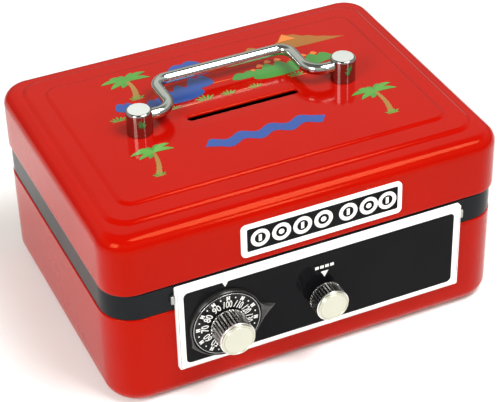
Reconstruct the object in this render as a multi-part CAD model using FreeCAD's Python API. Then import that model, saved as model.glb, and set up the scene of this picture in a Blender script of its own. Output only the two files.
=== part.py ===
import FreeCAD, Part
import math
import os

# Toy safe coin bank: a pressed steel box with a hinged lid, a folding wire handle,
# a number dial and a push-button catch.
# Millimetres. Origin: centre of the underside. +X runs along the front to the right,
# +Y towards the hinge at the back, +Z up. The front face looks along -Y.

# ---- overall size ----
LENGTH = 160.0
DEPTH = 122.0
FRONT_Y = -DEPTH / 2
BACK_Y = DEPTH / 2

# ---- pressed steel sheet ----
BASE_SHEET = 1.0
LID_SHEET = 0.9
BASE_TOP_Z = 40.0
BASE_CORNER_R = 13.5
BASE_EDGE_R = 6.0

# ---- black rim collar ----
COLLAR_INSET = 0.4
COLLAR_BAND_INNER = 1.9
COLLAR_BOTTOM_Z = 33.0
COLLAR_BAND_Z = 40.3
COLLAR_TOP_Z = 50.9
LIP_OUTER = 1.7
LIP_INNER = 2.5
LIP_TOP_Z = 56.0
COLLAR_CORNER_R = 13.1

# ---- lid ----
LID_BOTTOM_Z = 51.5
LID_BORDER_Z = 75.2
LID_STEP_Z = 76.1
LID_PANEL_Z = 76.8
LID_CORNER_R = 11.5
LID_EDGE_R = 5.5
STEP_CREST = (71.5, 50.5)
STEP_CENTRE_Y = 1.0
STEP_CORNER_R = 7.0
STEP_SLOPE = 2.8
PANEL_CREST = (64.5, 42.0)
PANEL_CENTRE_Y = 1.5
PANEL_CORNER_R = 4.0
PANEL_SLOPE = 2.2
SLOT_LENGTH = 46.0
SLOT_WIDTH = 3.0
SLOT_END_FLAT = 0.01

# ---- front panel with the dial and the button ----
PANEL_X = (-55.65, 60.5)
PANEL_Z = (13.2, 50.5)
PANEL_FRONT_Y = FRONT_Y - 2.3
FACE_X = (-53.0, 57.5)
FACE_Z = (15.5, 48.0)
FACE_CORNER_R = 2.0
FACE_FRONT_Y = FRONT_Y - 2.1
FACE_BACK_Y = FRONT_Y - 1.0
CLIP_Z = (43.6, 47.2)
CLIP_REACH = 1.6
CLIP_RISE = 1.2
CLIP_EDGE_R = 0.4
PANEL_EDGE_R = 0.35
PLATE_PLAY = 0.03

# ---- dial ----
DIAL_X = -37.2
DIAL_Z = 30.0
RING_OUTER_R = 14.45
RING_INNER_R = 13.45
RING_FRONT_Y = FRONT_Y - 3.8
BEAK_TIP = 20.0
BEAK_HALF_WIDTH = 5.2
BEAK_TIP_RISE = 1.0
BEAK_SINK = 0.6
BEAK_HEIGHT = 1.2
DISC_R = 13.15
DISC_BACK_Y = FRONT_Y - 2.4
DISC_FRONT_Y = FRONT_Y - 3.9
DIAL_KNOB_R = 6.9
DIAL_KNOB_BACK_Y = FRONT_Y - 4.6
DIAL_KNOB_FRONT_Y = FRONT_Y - 13.6
DIAL_CAP_FRONT_Y = FRONT_Y - 14.3
KNURL_COUNT = 36
KNURL_DEPTH = 0.45
KNOB_NECK_INSET = 1.2
CAP_BEVEL = 0.35
SPINDLE_OVERRUN = 1.6
CIRCLIP_R = 3.8
CIRCLIP_SHEET = 0.7
CAM_R = 11.0
CAM_Y = (-57.5, -55.5)
CAM_HUB_R = 4.0
CAM_HUB_BACK_Y = -52.5
CAM_NOTCH_DEPTH = 4.0
CAM_NOTCH_HALF = 2.5
CAM_NOTCH_ANGLE = 24

# ---- push button ----
BUTTON_X = 2.2
BUTTON_Z = 29.4
BUTTON_R = 6.5
BUTTON_BACK_Y = FRONT_Y - 4.9
BUTTON_FRONT_Y = FRONT_Y - 11.0
BUTTON_CAP_FRONT_Y = FRONT_Y - 11.6

# ---- shafts and lock ----
SHAFT_R = 2.0
SPRING_WIRE_R = 0.5
SPRING_COIL_R = 3.0
SPRING_TURNS = 3
SHAFT_RUNNING = 0.05
CLEAR_HOLE_R = 3.0
SHAFT_OVERRUN = 1.0
STOP_COLLAR_R = 3.0
STOP_COLLAR_Y = (-54.2, -52.7)
SPRING_SEAT_Y = -50.1
HOUSING_SHEET = 1.0
HOUSING_X = (-50.2, 14.0)
HOUSING_Z = (19.0, 41.0)
HOUSING_FOOT = 7.0
HOUSING_BACK_Y = -43.0
HOUSING_RIVET_INSET = 5.0
EAR_X = (-6.0, 10.0)
LATCH_Y = -51.0
LATCH_Z = 42.0
LATCH_PIN_R = 1.0
LATCH_PIN_OVERRUN = 0.8
EAR_MARGIN = 3.0
LEVER_TUBE_R = 2.1
FORK_HALF = 4.5
FORK_LOW_Z = 25.9
FORK_SLOT_HALF = 2.4
NECK_HALF = 2.5
NOSE_HALF = 1.8
NOSE_Z = (46.2, 48.0)
NOSE_CLEAR = 0.6
FINGER_X = -24.6
FINGER_Z = (34.0, 37.6)
FINGER_FRONT_Y = -57.0
LEVER_SHEET = 1.2
STRIKER_Y = -47.0
STRIKER_SHEET = 1.0
STRIKER_HALF = 9.0
STRIKER_FOOT_Z = (57.5, 66.5)
STRIKER_LEG_HALF = 5.0
STRIKER_LOW_Z = 44.0
STRIKER_RIVET_HALF = 6.0
STRIKER_RIVET_Z = 62.5
WINDOW_HALF = 2.4
WINDOW_Z = (45.6, 48.8)
RIVET_R = 1.2
RIVET_HEAD_R = 2.3
RIVET_HEAD_H = 0.8
FREE_GAP = 0.3

# ---- hinge ----
HINGE_Y = BACK_Y + 2.3
HINGE_Z = 51.2
HINGE_HALF = 30.0
LEAF_SHEET = 0.8
KNUCKLE_R = 2.0
HINGE_PIN_R = 1.0
HINGE_PIN_OVERRUN = 0.6
KNUCKLE_LAP = 0.2
LEAF_BASE_Z = 30.0
LEAF_LID_Z = 65.0
KNUCKLE_CUT = 2.6
HINGE_RIVET_X = (-20.0, 0.0, 20.0)
BASE_RIVET_Z = 36.5
LID_RIVET_Z = 60.0

# ---- lid label plate ----
LABEL_X = (-29.2, 35.5)
LABEL_Z = (54.6, 68.5)
LABEL_BORDER = 2.2
LABEL_BORDER_THIN = 1.7
LABEL_INNER_R = 0.6
LABEL_POCKET = 0.35
LABEL_FACE_SINK = 0.05
LABEL_CORNER_R = 2.0
LABEL_SHEET = 0.7

# ---- handle ----
POST_X = 42.5
POST_R = 5.0
POST_HEIGHT = 10.0
POST_EDGE_R = 0.9
BAIL_R = 2.25
BAIL_RUNNING = 0.05
BAIL_RISE = 6.4
BAIL_LEG_X = 28.5
BAIL_REACH = 21.4
BAIL_INNER_BEND = 7.0
BAIL_OUTER_BEND = 5.5
BAIL_END_X = 41.0
SCREW_R = 1.4
SCREW_HEAD_R = 2.8
SCREW_HEAD_H = 1.8
SCREW_REACH = 3.5
SCREW_TIP_ROOM = 0.1
CROSS_ARM = 1.8
CROSS_HALF_WIDTH = 0.35
WASHER_R = 4.2
WASHER_SHEET = 0.6

X_AXIS = FreeCAD.Vector(1, 0, 0)
Y_AXIS = FreeCAD.Vector(0, 1, 0)
Z_AXIS = FreeCAD.Vector(0, 0, 1)


def vec(x, y, z):
    return FreeCAD.Vector(x, y, z)


def box(x, y, z):
    """Box between the low and high ends given for each axis."""
    return Part.makeBox(x[1] - x[0], y[1] - y[0], z[1] - z[0], vec(x[0], y[0], z[0]))


def rod(start, end, radius):
    """Round bar between two points."""
    line = end - start
    return Part.makeCylinder(radius, line.Length, start, line)


def y_rod(x, z, y_low, y_high, radius):
    return rod(vec(x, y_low, z), vec(x, y_high, z), radius)


def rounded_wire(half_x, half_y, radius, z, centre_y=0.0):
    """Closed rounded rectangle lying flat at a height."""
    points = []
    for sign_x, sign_y in ((1, 1), (-1, 1), (-1, -1), (1, -1)):
        points.append((sign_x, sign_y))
    edges = []
    for index, (sx, sy) in enumerate(points):
        cx = sx * (half_x - radius)
        cy = centre_y + sy * (half_y - radius)
        start_angle = index * 90
        circle = Part.Circle(vec(cx, cy, z), Z_AXIS, radius)
        arc = Part.Arc(circle, math.radians(start_angle), math.radians(start_angle + 90))
        edges.append(arc.toShape())
    joined = []
    for index, edge in enumerate(edges):
        following = edges[(index + 1) % len(edges)]
        joined.append(edge)
        joined.append(Part.makeLine(edge.lastVertex().Point, following.firstVertex().Point))
    return Part.Wire(Part.__sortEdges__(joined))


def rounded_prism(half_x, half_y, radius, z_low, z_high, centre_y=0.0):
    face = Part.Face(rounded_wire(half_x, half_y, radius, z_low, centre_y))
    return face.extrude(vec(0, 0, z_high - z_low))


def outline_prism(inset, radius, z_low, z_high):
    """Prism on the box outline, moved in by an inset on every side."""
    return rounded_prism(LENGTH / 2 - inset, DEPTH / 2 - inset, radius - inset, z_low, z_high)


def edges_at_height(shape, z):
    """Edges lying wholly at one height."""
    found = []
    for edge in shape.Edges:
        bounds = edge.BoundBox
        if abs(bounds.ZMin - z) < 1e-4 and abs(bounds.ZMax - z) < 1e-4:
            found.append(edge)
    return found


def front_plate(x, z, y_low, y_high, radius):
    """Upright plate facing the front, with rounded corners."""
    half_x = (x[1] - x[0]) / 2
    half_z = (z[1] - z[0]) / 2
    flat = rounded_prism(half_x, half_z, radius, 0, y_high - y_low)
    flat.rotate(vec(0, 0, 0), X_AXIS, 90)
    flat.translate(vec(x[0] + half_x, y_high, z[0] + half_z))
    return flat


def rivet(x, z, outer_y, inner_y, inward):
    """Rivet through sheets between two depths, with a head on the inner side."""
    shank = y_rod(x, z, min(outer_y, inner_y), max(outer_y, inner_y), RIVET_R)
    head = rod(vec(x, inner_y, z), vec(x, inner_y + inward * RIVET_HEAD_H, z), RIVET_HEAD_R)
    return shank.fuse(head)


def fuse_all(shapes):
    result = shapes[0]
    for shape in shapes[1:]:
        result = result.fuse(shape)
    return result.removeSplitter()


# ---- base ----

def housing_rivet_places():
    places = []
    for x in (HOUSING_X[0] + HOUSING_FOOT / 2, HOUSING_X[1] + HOUSING_FOOT / 2):
        for z in (HOUSING_Z[0] + HOUSING_RIVET_INSET, HOUSING_Z[1] - HOUSING_RIVET_INSET):
            places.append((x, z))
    return places


def front_holes(radius, y_low, y_high):
    """Round holes for the dial spindle and the button shaft."""
    dial = y_rod(DIAL_X, DIAL_Z, y_low, y_high, radius)
    button = y_rod(BUTTON_X, BUTTON_Z, y_low, y_high, radius)
    return dial.fuse(button)


def cut_rivets(shape, places, y_low, y_high):
    """Rivet holes through a sheet."""
    for x, z in places:
        shape = shape.cut(y_rod(x, z, y_low, y_high, RIVET_R))
    return shape


def make_base_shell():
    """Deep-drawn steel tray with a rolled top edge."""
    outer = outline_prism(0, BASE_CORNER_R, 0, BASE_TOP_Z)
    outer = outer.makeFillet(BASE_EDGE_R, edges_at_height(outer, 0))
    inner = outline_prism(BASE_SHEET, BASE_CORNER_R, BASE_SHEET, BASE_TOP_Z + 5)
    inner = inner.makeFillet(BASE_EDGE_R - BASE_SHEET, edges_at_height(inner, BASE_SHEET))
    shell = outer.cut(inner)
    shell = shell.cut(front_holes(CLEAR_HOLE_R, FRONT_Y - 1, FRONT_Y + 2))
    shell = cut_rivets(shell, housing_rivet_places(), FRONT_Y - 1, FRONT_Y + 2)
    hinge_places = [(x, BASE_RIVET_Z) for x in HINGE_RIVET_X]
    return cut_rivets(shell, hinge_places, BACK_Y - 2, BACK_Y + 1)


def make_rim_collar():
    """Black rim: a band between base and lid, a skirt inside the base, a lip inside the lid."""
    skirt = outline_prism(BASE_SHEET, BASE_CORNER_R, COLLAR_BOTTOM_Z, COLLAR_BAND_Z)
    skirt = skirt.cut(outline_prism(COLLAR_BAND_INNER, BASE_CORNER_R, COLLAR_BOTTOM_Z - 1, LIP_TOP_Z))
    band = outline_prism(COLLAR_INSET, COLLAR_CORNER_R, COLLAR_BAND_Z, COLLAR_TOP_Z)
    band = band.cut(outline_prism(COLLAR_BAND_INNER, COLLAR_CORNER_R, COLLAR_BAND_Z - 1, LIP_TOP_Z))
    ledge_low = COLLAR_TOP_Z - BASE_SHEET
    lip = outline_prism(LIP_OUTER, COLLAR_CORNER_R, ledge_low, LIP_TOP_Z)
    lip = lip.cut(outline_prism(LIP_INNER, COLLAR_CORNER_R, ledge_low - 1, LIP_TOP_Z + 1))
    collar = fuse_all([skirt, band, lip])
    places = [(x, BASE_RIVET_Z) for x in HINGE_RIVET_X]
    collar = cut_rivets(collar, places, BACK_Y - 3, BACK_Y + 1)
    foot_room = box((HOUSING_X[0] - 1, HOUSING_X[1] + HOUSING_FOOT + 1),
                    (FRONT_Y, FRONT_Y + COLLAR_BAND_INNER + 0.5),
                    (COLLAR_BOTTOM_Z - 1, HOUSING_Z[1] + 1))
    keep_band = box((-LENGTH, LENGTH), (-DEPTH, FRONT_Y + BASE_SHEET), (COLLAR_BAND_Z, LIP_TOP_Z))
    return collar.cut(foot_room.cut(keep_band))


def make_panel_frame():
    """White moulded surround with a shallow pocket for the black face plate."""
    plate = box(PANEL_X, (PANEL_FRONT_Y, FRONT_Y), PANEL_Z)
    front_edges = [edge for edge in plate.Edges if abs(edge.BoundBox.YMax - PANEL_FRONT_Y) < 1e-4]
    plate = plate.makeFillet(PANEL_EDGE_R, front_edges)
    plate = plate.cut(front_plate(FACE_X, FACE_Z, PANEL_FRONT_Y - 1, FACE_BACK_Y, FACE_CORNER_R))
    plate = plate.cut(front_holes(CLEAR_HOLE_R, PANEL_FRONT_Y, FRONT_Y + 1))
    return cut_rivets(plate, housing_rivet_places(), PANEL_FRONT_Y, FRONT_Y + 1)


def make_panel_face():
    """Glossy black plate with bearing holes for the spindle and the button shaft."""
    face = front_plate((FACE_X[0] + PLATE_PLAY, FACE_X[1] - PLATE_PLAY),
                       (FACE_Z[0] + PLATE_PLAY, FACE_Z[1] - PLATE_PLAY),
                       FACE_FRONT_Y, FACE_BACK_Y, FACE_CORNER_R)
    return face.cut(front_holes(SHAFT_R + SHAFT_RUNNING, FACE_FRONT_Y - 1, FACE_BACK_Y + 1))


def make_panel_clips():
    """Two bent spring clips that grip the ends of the panel over the black band."""
    clips = []
    for end_x, outward in ((PANEL_X[0], -1), (PANEL_X[1], 1)):
        far_x = end_x + outward * CLIP_REACH
        x = (min(end_x, far_x), max(end_x, far_x))
        tab = box(x, (FRONT_Y - CLIP_RISE, FRONT_Y + COLLAR_INSET), CLIP_Z)
        clips.append(tab.makeFillet(CLIP_EDGE_R, tab.Edges))
    return Part.makeCompound(clips)


def make_dial_ring():
    """Raised black ring round the dial with a beak pointing to the right."""
    ring = y_rod(DIAL_X, DIAL_Z, RING_FRONT_Y, FACE_FRONT_Y, RING_OUTER_R)
    root_x = DIAL_X + math.sqrt(RING_OUTER_R ** 2 - BEAK_HALF_WIDTH ** 2) - BEAK_SINK
    tip = vec(DIAL_X + BEAK_TIP, FACE_FRONT_Y, DIAL_Z + BEAK_TIP_RISE)
    corners = [tip]
    corners.append(vec(root_x, FACE_FRONT_Y, DIAL_Z + BEAK_HALF_WIDTH))
    corners.append(vec(root_x, FACE_FRONT_Y, DIAL_Z - BEAK_HALF_WIDTH))
    beak = Part.Face(Part.makePolygon(corners + [corners[0]]))
    beak = beak.extrude(vec(0, -BEAK_HEIGHT, 0))
    body = ring.fuse(beak)
    return body.cut(y_rod(DIAL_X, DIAL_Z, RING_FRONT_Y - 1, FACE_FRONT_Y + 1, RING_INNER_R))


# ---- dial group ----

def knurled(x, z, y_low, y_high, radius):
    """Cylinder with straight V-shaped knurling along its side."""
    points = []
    for index in range(2 * KNURL_COUNT):
        reach = radius if index % 2 == 0 else radius - KNURL_DEPTH
        angle = math.pi * index / KNURL_COUNT
        points.append(vec(x + reach * math.cos(angle), y_low, z + reach * math.sin(angle)))
    face = Part.Face(Part.makePolygon(points + [points[0]]))
    return face.extrude(vec(0, y_high - y_low, 0))


def make_dial_disc():
    disc = y_rod(DIAL_X, DIAL_Z, DISC_FRONT_Y, DISC_BACK_Y, DISC_R)
    return disc.cut(y_rod(DIAL_X, DIAL_Z, DISC_FRONT_Y - 1, DISC_BACK_Y + 1, SHAFT_R))


def make_dial_knob():
    """Knurled knob with a short neck, bored for the spindle."""
    grip = knurled(DIAL_X, DIAL_Z, DIAL_KNOB_FRONT_Y, DIAL_KNOB_BACK_Y, DIAL_KNOB_R)
    neck = y_rod(DIAL_X, DIAL_Z, DIAL_KNOB_BACK_Y, DISC_FRONT_Y, DIAL_KNOB_R - KNOB_NECK_INSET)
    bore = y_rod(DIAL_X, DIAL_Z, DIAL_KNOB_FRONT_Y + 1, DISC_FRONT_Y + 1, SHAFT_R)
    return grip.fuse(neck).cut(bore)


def end_cap(x, z, y_front, y_back, radius):
    """Flat round cap with a small bevel, on the front of a knob."""
    cap = y_rod(x, z, y_front, y_back, radius)
    rim = [edge for edge in cap.Edges if abs(edge.BoundBox.YMax - y_front) < 1e-4]
    return cap.makeChamfer(CAP_BEVEL, rim)


def make_dial_cap():
    return end_cap(DIAL_X, DIAL_Z, DIAL_CAP_FRONT_Y, DIAL_KNOB_FRONT_Y, DIAL_KNOB_R - KNURL_DEPTH)


def make_dial_spindle():
    return y_rod(DIAL_X, DIAL_Z, DIAL_KNOB_FRONT_Y + 1, HOUSING_BACK_Y + SPINDLE_OVERRUN, SHAFT_R)


def make_cam_disc():
    """Gate wheel on the spindle: a disc with one notch, and a hub."""
    disc = y_rod(DIAL_X, DIAL_Z, CAM_Y[0], CAM_Y[1], CAM_R)
    hub = y_rod(DIAL_X, DIAL_Z, CAM_Y[1], CAM_HUB_BACK_Y, CAM_HUB_R)
    notch = box((CAM_R - CAM_NOTCH_DEPTH, CAM_R + 1), (CAM_Y[0] - 1, CAM_Y[1] + 1),
                (-CAM_NOTCH_HALF, CAM_NOTCH_HALF))
    notch.rotate(vec(0, 0, 0), Y_AXIS, -CAM_NOTCH_ANGLE)
    notch.translate(vec(DIAL_X, 0, DIAL_Z))
    bore = y_rod(DIAL_X, DIAL_Z, CAM_Y[0] - 1, CAM_HUB_BACK_Y + 1, SHAFT_R)
    return disc.fuse(hub).cut(notch).cut(bore)


def make_spindle_clip():
    """Spring ring that keeps the spindle in the lock housing."""
    y = (HOUSING_BACK_Y + FREE_GAP, HOUSING_BACK_Y + FREE_GAP + CIRCLIP_SHEET)
    ring = y_rod(DIAL_X, DIAL_Z, y[0], y[1], CIRCLIP_R)
    ring = ring.cut(y_rod(DIAL_X, DIAL_Z, y[0] - 1, y[1] + 1, SHAFT_R))
    mouth = box((DIAL_X - 1, DIAL_X + 1), (y[0] - 1, y[1] + 1), (DIAL_Z - CIRCLIP_R - 1, DIAL_Z - 1))
    return ring.cut(mouth)


# ---- button group ----

def make_push_knob():
    grip = knurled(BUTTON_X, BUTTON_Z, BUTTON_FRONT_Y, BUTTON_BACK_Y, BUTTON_R)
    bore = y_rod(BUTTON_X, BUTTON_Z, BUTTON_FRONT_Y + 1, BUTTON_BACK_Y + 1, SHAFT_R)
    return grip.cut(bore)


def make_push_cap():
    return end_cap(BUTTON_X, BUTTON_Z, BUTTON_CAP_FRONT_Y, BUTTON_FRONT_Y, BUTTON_R - KNURL_DEPTH)


def make_push_shaft():
    return y_rod(BUTTON_X, BUTTON_Z, BUTTON_FRONT_Y + 1, HOUSING_BACK_Y + SHAFT_OVERRUN, SHAFT_R)


def make_push_collar():
    """Collar pressed on the shaft: it drives the latch and stops the shaft coming out."""
    low_y, high_y = STOP_COLLAR_Y
    ring = y_rod(BUTTON_X, BUTTON_Z, low_y, high_y, STOP_COLLAR_R)
    return ring.cut(y_rod(BUTTON_X, BUTTON_Z, low_y - 1, high_y + 1, SHAFT_R))


def make_push_spring():
    """Compression spring between the latch fork and the housing, wound from tilted half rings."""
    low_y = SPRING_SEAT_Y + SPRING_WIRE_R
    high_y = HOUSING_BACK_Y - HOUSING_SHEET - SHAFT_RUNNING - SPRING_WIRE_R
    rise = (high_y - low_y) / (2 * SPRING_TURNS)
    pieces = []
    for index in range(2 * SPRING_TURNS):
        side = 1 if index % 2 == 0 else -1
        start = vec(BUTTON_X + side * SPRING_COIL_R, low_y + index * rise, BUTTON_Z)
        end = vec(BUTTON_X - side * SPRING_COIL_R, low_y + (index + 1) * rise, BUTTON_Z)
        centre = (start + end) * 0.5
        turn_axis = (start - centre).cross(Z_AXIS * side)
        section = Part.Face(Part.Wire([Part.makeCircle(SPRING_WIRE_R, start, Z_AXIS)]))
        pieces.append(section.revolve(centre, turn_axis, 180))
        pieces.append(Part.makeSphere(SPRING_WIRE_R, end))
    pieces.append(Part.makeSphere(SPRING_WIRE_R, vec(BUTTON_X + SPRING_COIL_R, low_y, BUTTON_Z)))
    return fuse_all(pieces)


# ---- lock ----

def make_lock_housing():
    """Folded steel bracket with two feet, a bearing plate and two ears for the latch pin."""
    inner_y = FRONT_Y + BASE_SHEET
    x_low, x_high = HOUSING_X
    pieces = [box(HOUSING_X, (HOUSING_BACK_Y - HOUSING_SHEET, HOUSING_BACK_Y), HOUSING_Z)]
    pieces.append(box((x_low, x_low + HOUSING_SHEET), (inner_y, HOUSING_BACK_Y), HOUSING_Z))
    pieces.append(box((x_high - HOUSING_SHEET, x_high), (inner_y, HOUSING_BACK_Y), HOUSING_Z))
    foot_y = (inner_y, inner_y + HOUSING_SHEET)
    pieces.append(box((x_low, x_low + HOUSING_FOOT), foot_y, HOUSING_Z))
    pieces.append(box((x_high - HOUSING_SHEET, x_high + HOUSING_FOOT), foot_y, HOUSING_Z))
    for x in EAR_X:
        pieces.append(box((x, x + HOUSING_SHEET), (LATCH_Y - EAR_MARGIN, HOUSING_BACK_Y),
                          (LATCH_Z - EAR_MARGIN, LATCH_Z + EAR_MARGIN)))
    housing = fuse_all(pieces)
    housing = housing.cut(front_holes(SHAFT_R + SHAFT_RUNNING, HOUSING_BACK_Y - 2, HOUSING_BACK_Y + 1))
    pin_hole = rod(vec(EAR_X[0] - 1, LATCH_Y, LATCH_Z), vec(EAR_X[1] + HOUSING_SHEET + 1, LATCH_Y, LATCH_Z),
                   LATCH_PIN_R)
    housing = housing.cut(pin_hole)
    return cut_rivets(housing, housing_rivet_places(), inner_y - 1, inner_y + 2)


def make_lock_rivets():
    """Four rivets through the panel, the base wall and the housing feet."""
    inner_y = FRONT_Y + BASE_SHEET + HOUSING_SHEET
    return Part.makeCompound([rivet(x, z, FACE_BACK_Y, inner_y, 1) for x, z in housing_rivet_places()])


def make_latch_pin():
    start = vec(EAR_X[0] - LATCH_PIN_OVERRUN, LATCH_Y, LATCH_Z)
    end = vec(EAR_X[1] + HOUSING_SHEET + LATCH_PIN_OVERRUN, LATCH_Y, LATCH_Z)
    return rod(start, end, LATCH_PIN_R)


def about_button(half):
    """X range of a given half width about the button's middle."""
    return (BUTTON_X - half, BUTTON_X + half)


def make_latch_lever():
    """Bell crank on the latch pin: a fork below, a nose above, a finger beside the cam."""
    y = (LATCH_Y - LEVER_SHEET / 2, LATCH_Y + LEVER_SHEET / 2)
    tube_x = (EAR_X[0] + HOUSING_SHEET + FREE_GAP, EAR_X[1] - FREE_GAP)
    tube = rod(vec(tube_x[0], LATCH_Y, LATCH_Z), vec(tube_x[1], LATCH_Y, LATCH_Z), LEVER_TUBE_R)
    fork = box(about_button(FORK_HALF), y, (FORK_LOW_Z, LATCH_Z))
    slot = box(about_button(FORK_SLOT_HALF), (y[0] - 1, y[1] + 1), (FORK_LOW_Z - 1, BUTTON_Z))
    slot = slot.fuse(y_rod(BUTTON_X, BUTTON_Z, y[0] - 1, y[1] + 1, FORK_SLOT_HALF))
    upper = box(about_button(NECK_HALF), y, (LATCH_Z, NOSE_Z[1]))
    nose = box(about_button(NOSE_HALF), (y[0], STRIKER_Y - NOSE_CLEAR), NOSE_Z)
    arm = box((FINGER_X, BUTTON_X), y, FINGER_Z)
    finger = box((FINGER_X, FINGER_X + LEVER_SHEET), (FINGER_FRONT_Y, y[1]), FINGER_Z)
    lever = fuse_all([tube, fork.cut(slot), upper, nose, arm.cut(slot), finger])
    bore = rod(vec(tube_x[0] - 1, LATCH_Y, LATCH_Z), vec(tube_x[1] + 1, LATCH_Y, LATCH_Z),
               LATCH_PIN_R + SHAFT_RUNNING)
    return lever.cut(bore)


# ---- hinge ----

def knuckle_spans(own_base):
    """X ranges of the knuckles on the base leaf or on the lid leaf."""
    width = 2 * HINGE_HALF / 5
    spans = []
    for index in range(5):
        if (index % 2 == 0) == own_base:
            low = -HINGE_HALF + index * width
            trim = 0.0 if own_base else FREE_GAP
            spans.append((low + trim, low + width - trim))
    return spans


def make_leaf(z, own_base, bore_r, rivet_z):
    """Hinge leaf with rolled knuckles and clear notches for the other leaf."""
    leaf_y = (BACK_Y, BACK_Y + LEAF_SHEET)
    pieces = [box((-HINGE_HALF, HINGE_HALF), leaf_y, z)]
    for span in knuckle_spans(own_base):
        pieces.append(rod(vec(span[0], HINGE_Y, HINGE_Z), vec(span[1], HINGE_Y, HINGE_Z), KNUCKLE_R))
        near = sorted((z[1] if own_base else z[0], HINGE_Z - KNUCKLE_LAP if own_base else HINGE_Z))
        pieces.append(box(span, leaf_y, near))
    leaf = fuse_all(pieces)
    leaf = leaf.cut(rod(vec(-HINGE_HALF - 1, HINGE_Y, HINGE_Z), vec(HINGE_HALF + 1, HINGE_Y, HINGE_Z),
                        bore_r))
    return cut_rivets(leaf, [(x, rivet_z) for x in HINGE_RIVET_X], BACK_Y - 1, BACK_Y + 2)


def make_hinge_base_leaf():
    return make_leaf((LEAF_BASE_Z, HINGE_Z - KNUCKLE_CUT), True, HINGE_PIN_R, BASE_RIVET_Z)


def make_hinge_lid_leaf():
    return make_leaf((HINGE_Z + KNUCKLE_CUT, LEAF_LID_Z), False, HINGE_PIN_R + SHAFT_RUNNING, LID_RIVET_Z)


def make_hinge_pin():
    end_x = HINGE_HALF + HINGE_PIN_OVERRUN
    return rod(vec(-end_x, HINGE_Y, HINGE_Z), vec(end_x, HINGE_Y, HINGE_Z), HINGE_PIN_R)


def hinge_rivets(z, inner_y):
    """Three rivets with a head on each side of the sheets."""
    outer_y = BACK_Y + LEAF_SHEET
    solids = []
    for x in HINGE_RIVET_X:
        body = rivet(x, z, outer_y, inner_y, -1)
        head = rod(vec(x, outer_y, z), vec(x, outer_y + RIVET_HEAD_H, z), RIVET_HEAD_R)
        solids.append(body.fuse(head))
    return Part.makeCompound(solids)


def make_hinge_base_rivets():
    return hinge_rivets(BASE_RIVET_Z, BACK_Y - COLLAR_BAND_INNER)


def make_hinge_lid_rivets():
    return hinge_rivets(LID_RIVET_Z, BACK_Y - LID_SHEET)


# ---- lid ----

def raised_step(crest, corner_r, centre_y, slope, z_low, z_high, inset):
    """Flat-topped rise with sloping sides."""
    foot = rounded_wire(crest[0] + slope - inset, crest[1] + slope - inset, corner_r + slope, z_low,
                        centre_y)
    top = rounded_wire(crest[0] - inset, crest[1] - inset, corner_r, z_high, centre_y)
    return Part.makeLoft([foot, top], True, True)


def lid_form(inset, bottom_z):
    """Outer or inner form of the pressed lid: skirt, rounded edge and two low steps."""
    border_z = LID_BORDER_Z - inset
    body = outline_prism(inset, LID_CORNER_R, bottom_z, border_z)
    body = body.makeFillet(LID_EDGE_R - inset, edges_at_height(body, border_z))
    step = raised_step(STEP_CREST, STEP_CORNER_R, STEP_CENTRE_Y, STEP_SLOPE,
                       border_z, LID_STEP_Z - inset, inset / 2)
    panel = raised_step(PANEL_CREST, PANEL_CORNER_R, PANEL_CENTRE_Y, PANEL_SLOPE,
                        LID_STEP_Z - inset, LID_PANEL_Z - inset, inset / 2)
    return fuse_all([body, step, panel])


def make_lid_shell():
    """Pressed steel lid with a coin slot, post holes and rivet holes."""
    shell = lid_form(0, LID_BOTTOM_Z).cut(lid_form(LID_SHEET, LID_BOTTOM_Z - 5))
    slot = rounded_prism(SLOT_LENGTH / 2, SLOT_WIDTH / 2, SLOT_WIDTH / 2 - SLOT_END_FLAT,
                         LID_PANEL_Z - 5, LID_PANEL_Z + 5)
    shell = shell.cut(slot)
    for side in (-1, 1):
        shell = shell.cut(rod(vec(side * POST_X, 0, LID_PANEL_Z - 5), vec(side * POST_X, 0, LID_PANEL_Z + 5),
                              SCREW_R))
    shell = cut_rivets(shell, striker_rivet_places(), FRONT_Y - 1, FRONT_Y + 2)
    hinge_places = [(x, LID_RIVET_Z) for x in HINGE_RIVET_X]
    return cut_rivets(shell, hinge_places, BACK_Y - 2, BACK_Y + 1)


def make_label_frame():
    """White plate on the lid front with a shallow pocket."""
    plate = front_plate(LABEL_X, LABEL_Z, FRONT_Y - LABEL_SHEET, FRONT_Y, LABEL_CORNER_R)
    return plate.cut(label_inner(FRONT_Y - LABEL_SHEET - 1, FRONT_Y - LABEL_POCKET, 0))


def label_inner(y_low, y_high, play):
    x = (LABEL_X[0] + LABEL_BORDER + play, LABEL_X[1] - LABEL_BORDER_THIN - play)
    z = (LABEL_Z[0] + LABEL_BORDER + play, LABEL_Z[1] - LABEL_BORDER_THIN - play)
    return front_plate(x, z, y_low, y_high, LABEL_INNER_R)


def make_label_face():
    return label_inner(FRONT_Y - LABEL_SHEET + LABEL_FACE_SINK, FRONT_Y - LABEL_POCKET, PLATE_PLAY)


def striker_rivet_places():
    return [(x, STRIKER_RIVET_Z) for x in about_button(STRIKER_RIVET_HALF)]


def make_lid_striker():
    """Bent catch plate hanging from the lid front, with a window for the latch nose."""
    x = about_button(STRIKER_HALF)
    shelf_z = STRIKER_FOOT_Z[0]
    inner_y = FRONT_Y + LID_SHEET
    foot = box(x, (inner_y, inner_y + STRIKER_SHEET), STRIKER_FOOT_Z)
    shelf = box(x, (inner_y, STRIKER_Y + STRIKER_SHEET), (shelf_z, shelf_z + STRIKER_SHEET))
    leg = box(about_button(STRIKER_LEG_HALF), (STRIKER_Y, STRIKER_Y + STRIKER_SHEET),
              (STRIKER_LOW_Z, shelf_z + STRIKER_SHEET))
    window = box(about_button(WINDOW_HALF), (STRIKER_Y - 1, STRIKER_Y + STRIKER_SHEET + 1), WINDOW_Z)
    striker = fuse_all([foot, shelf, leg]).cut(window)
    return cut_rivets(striker, striker_rivet_places(), inner_y - 1, inner_y + 2)


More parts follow.
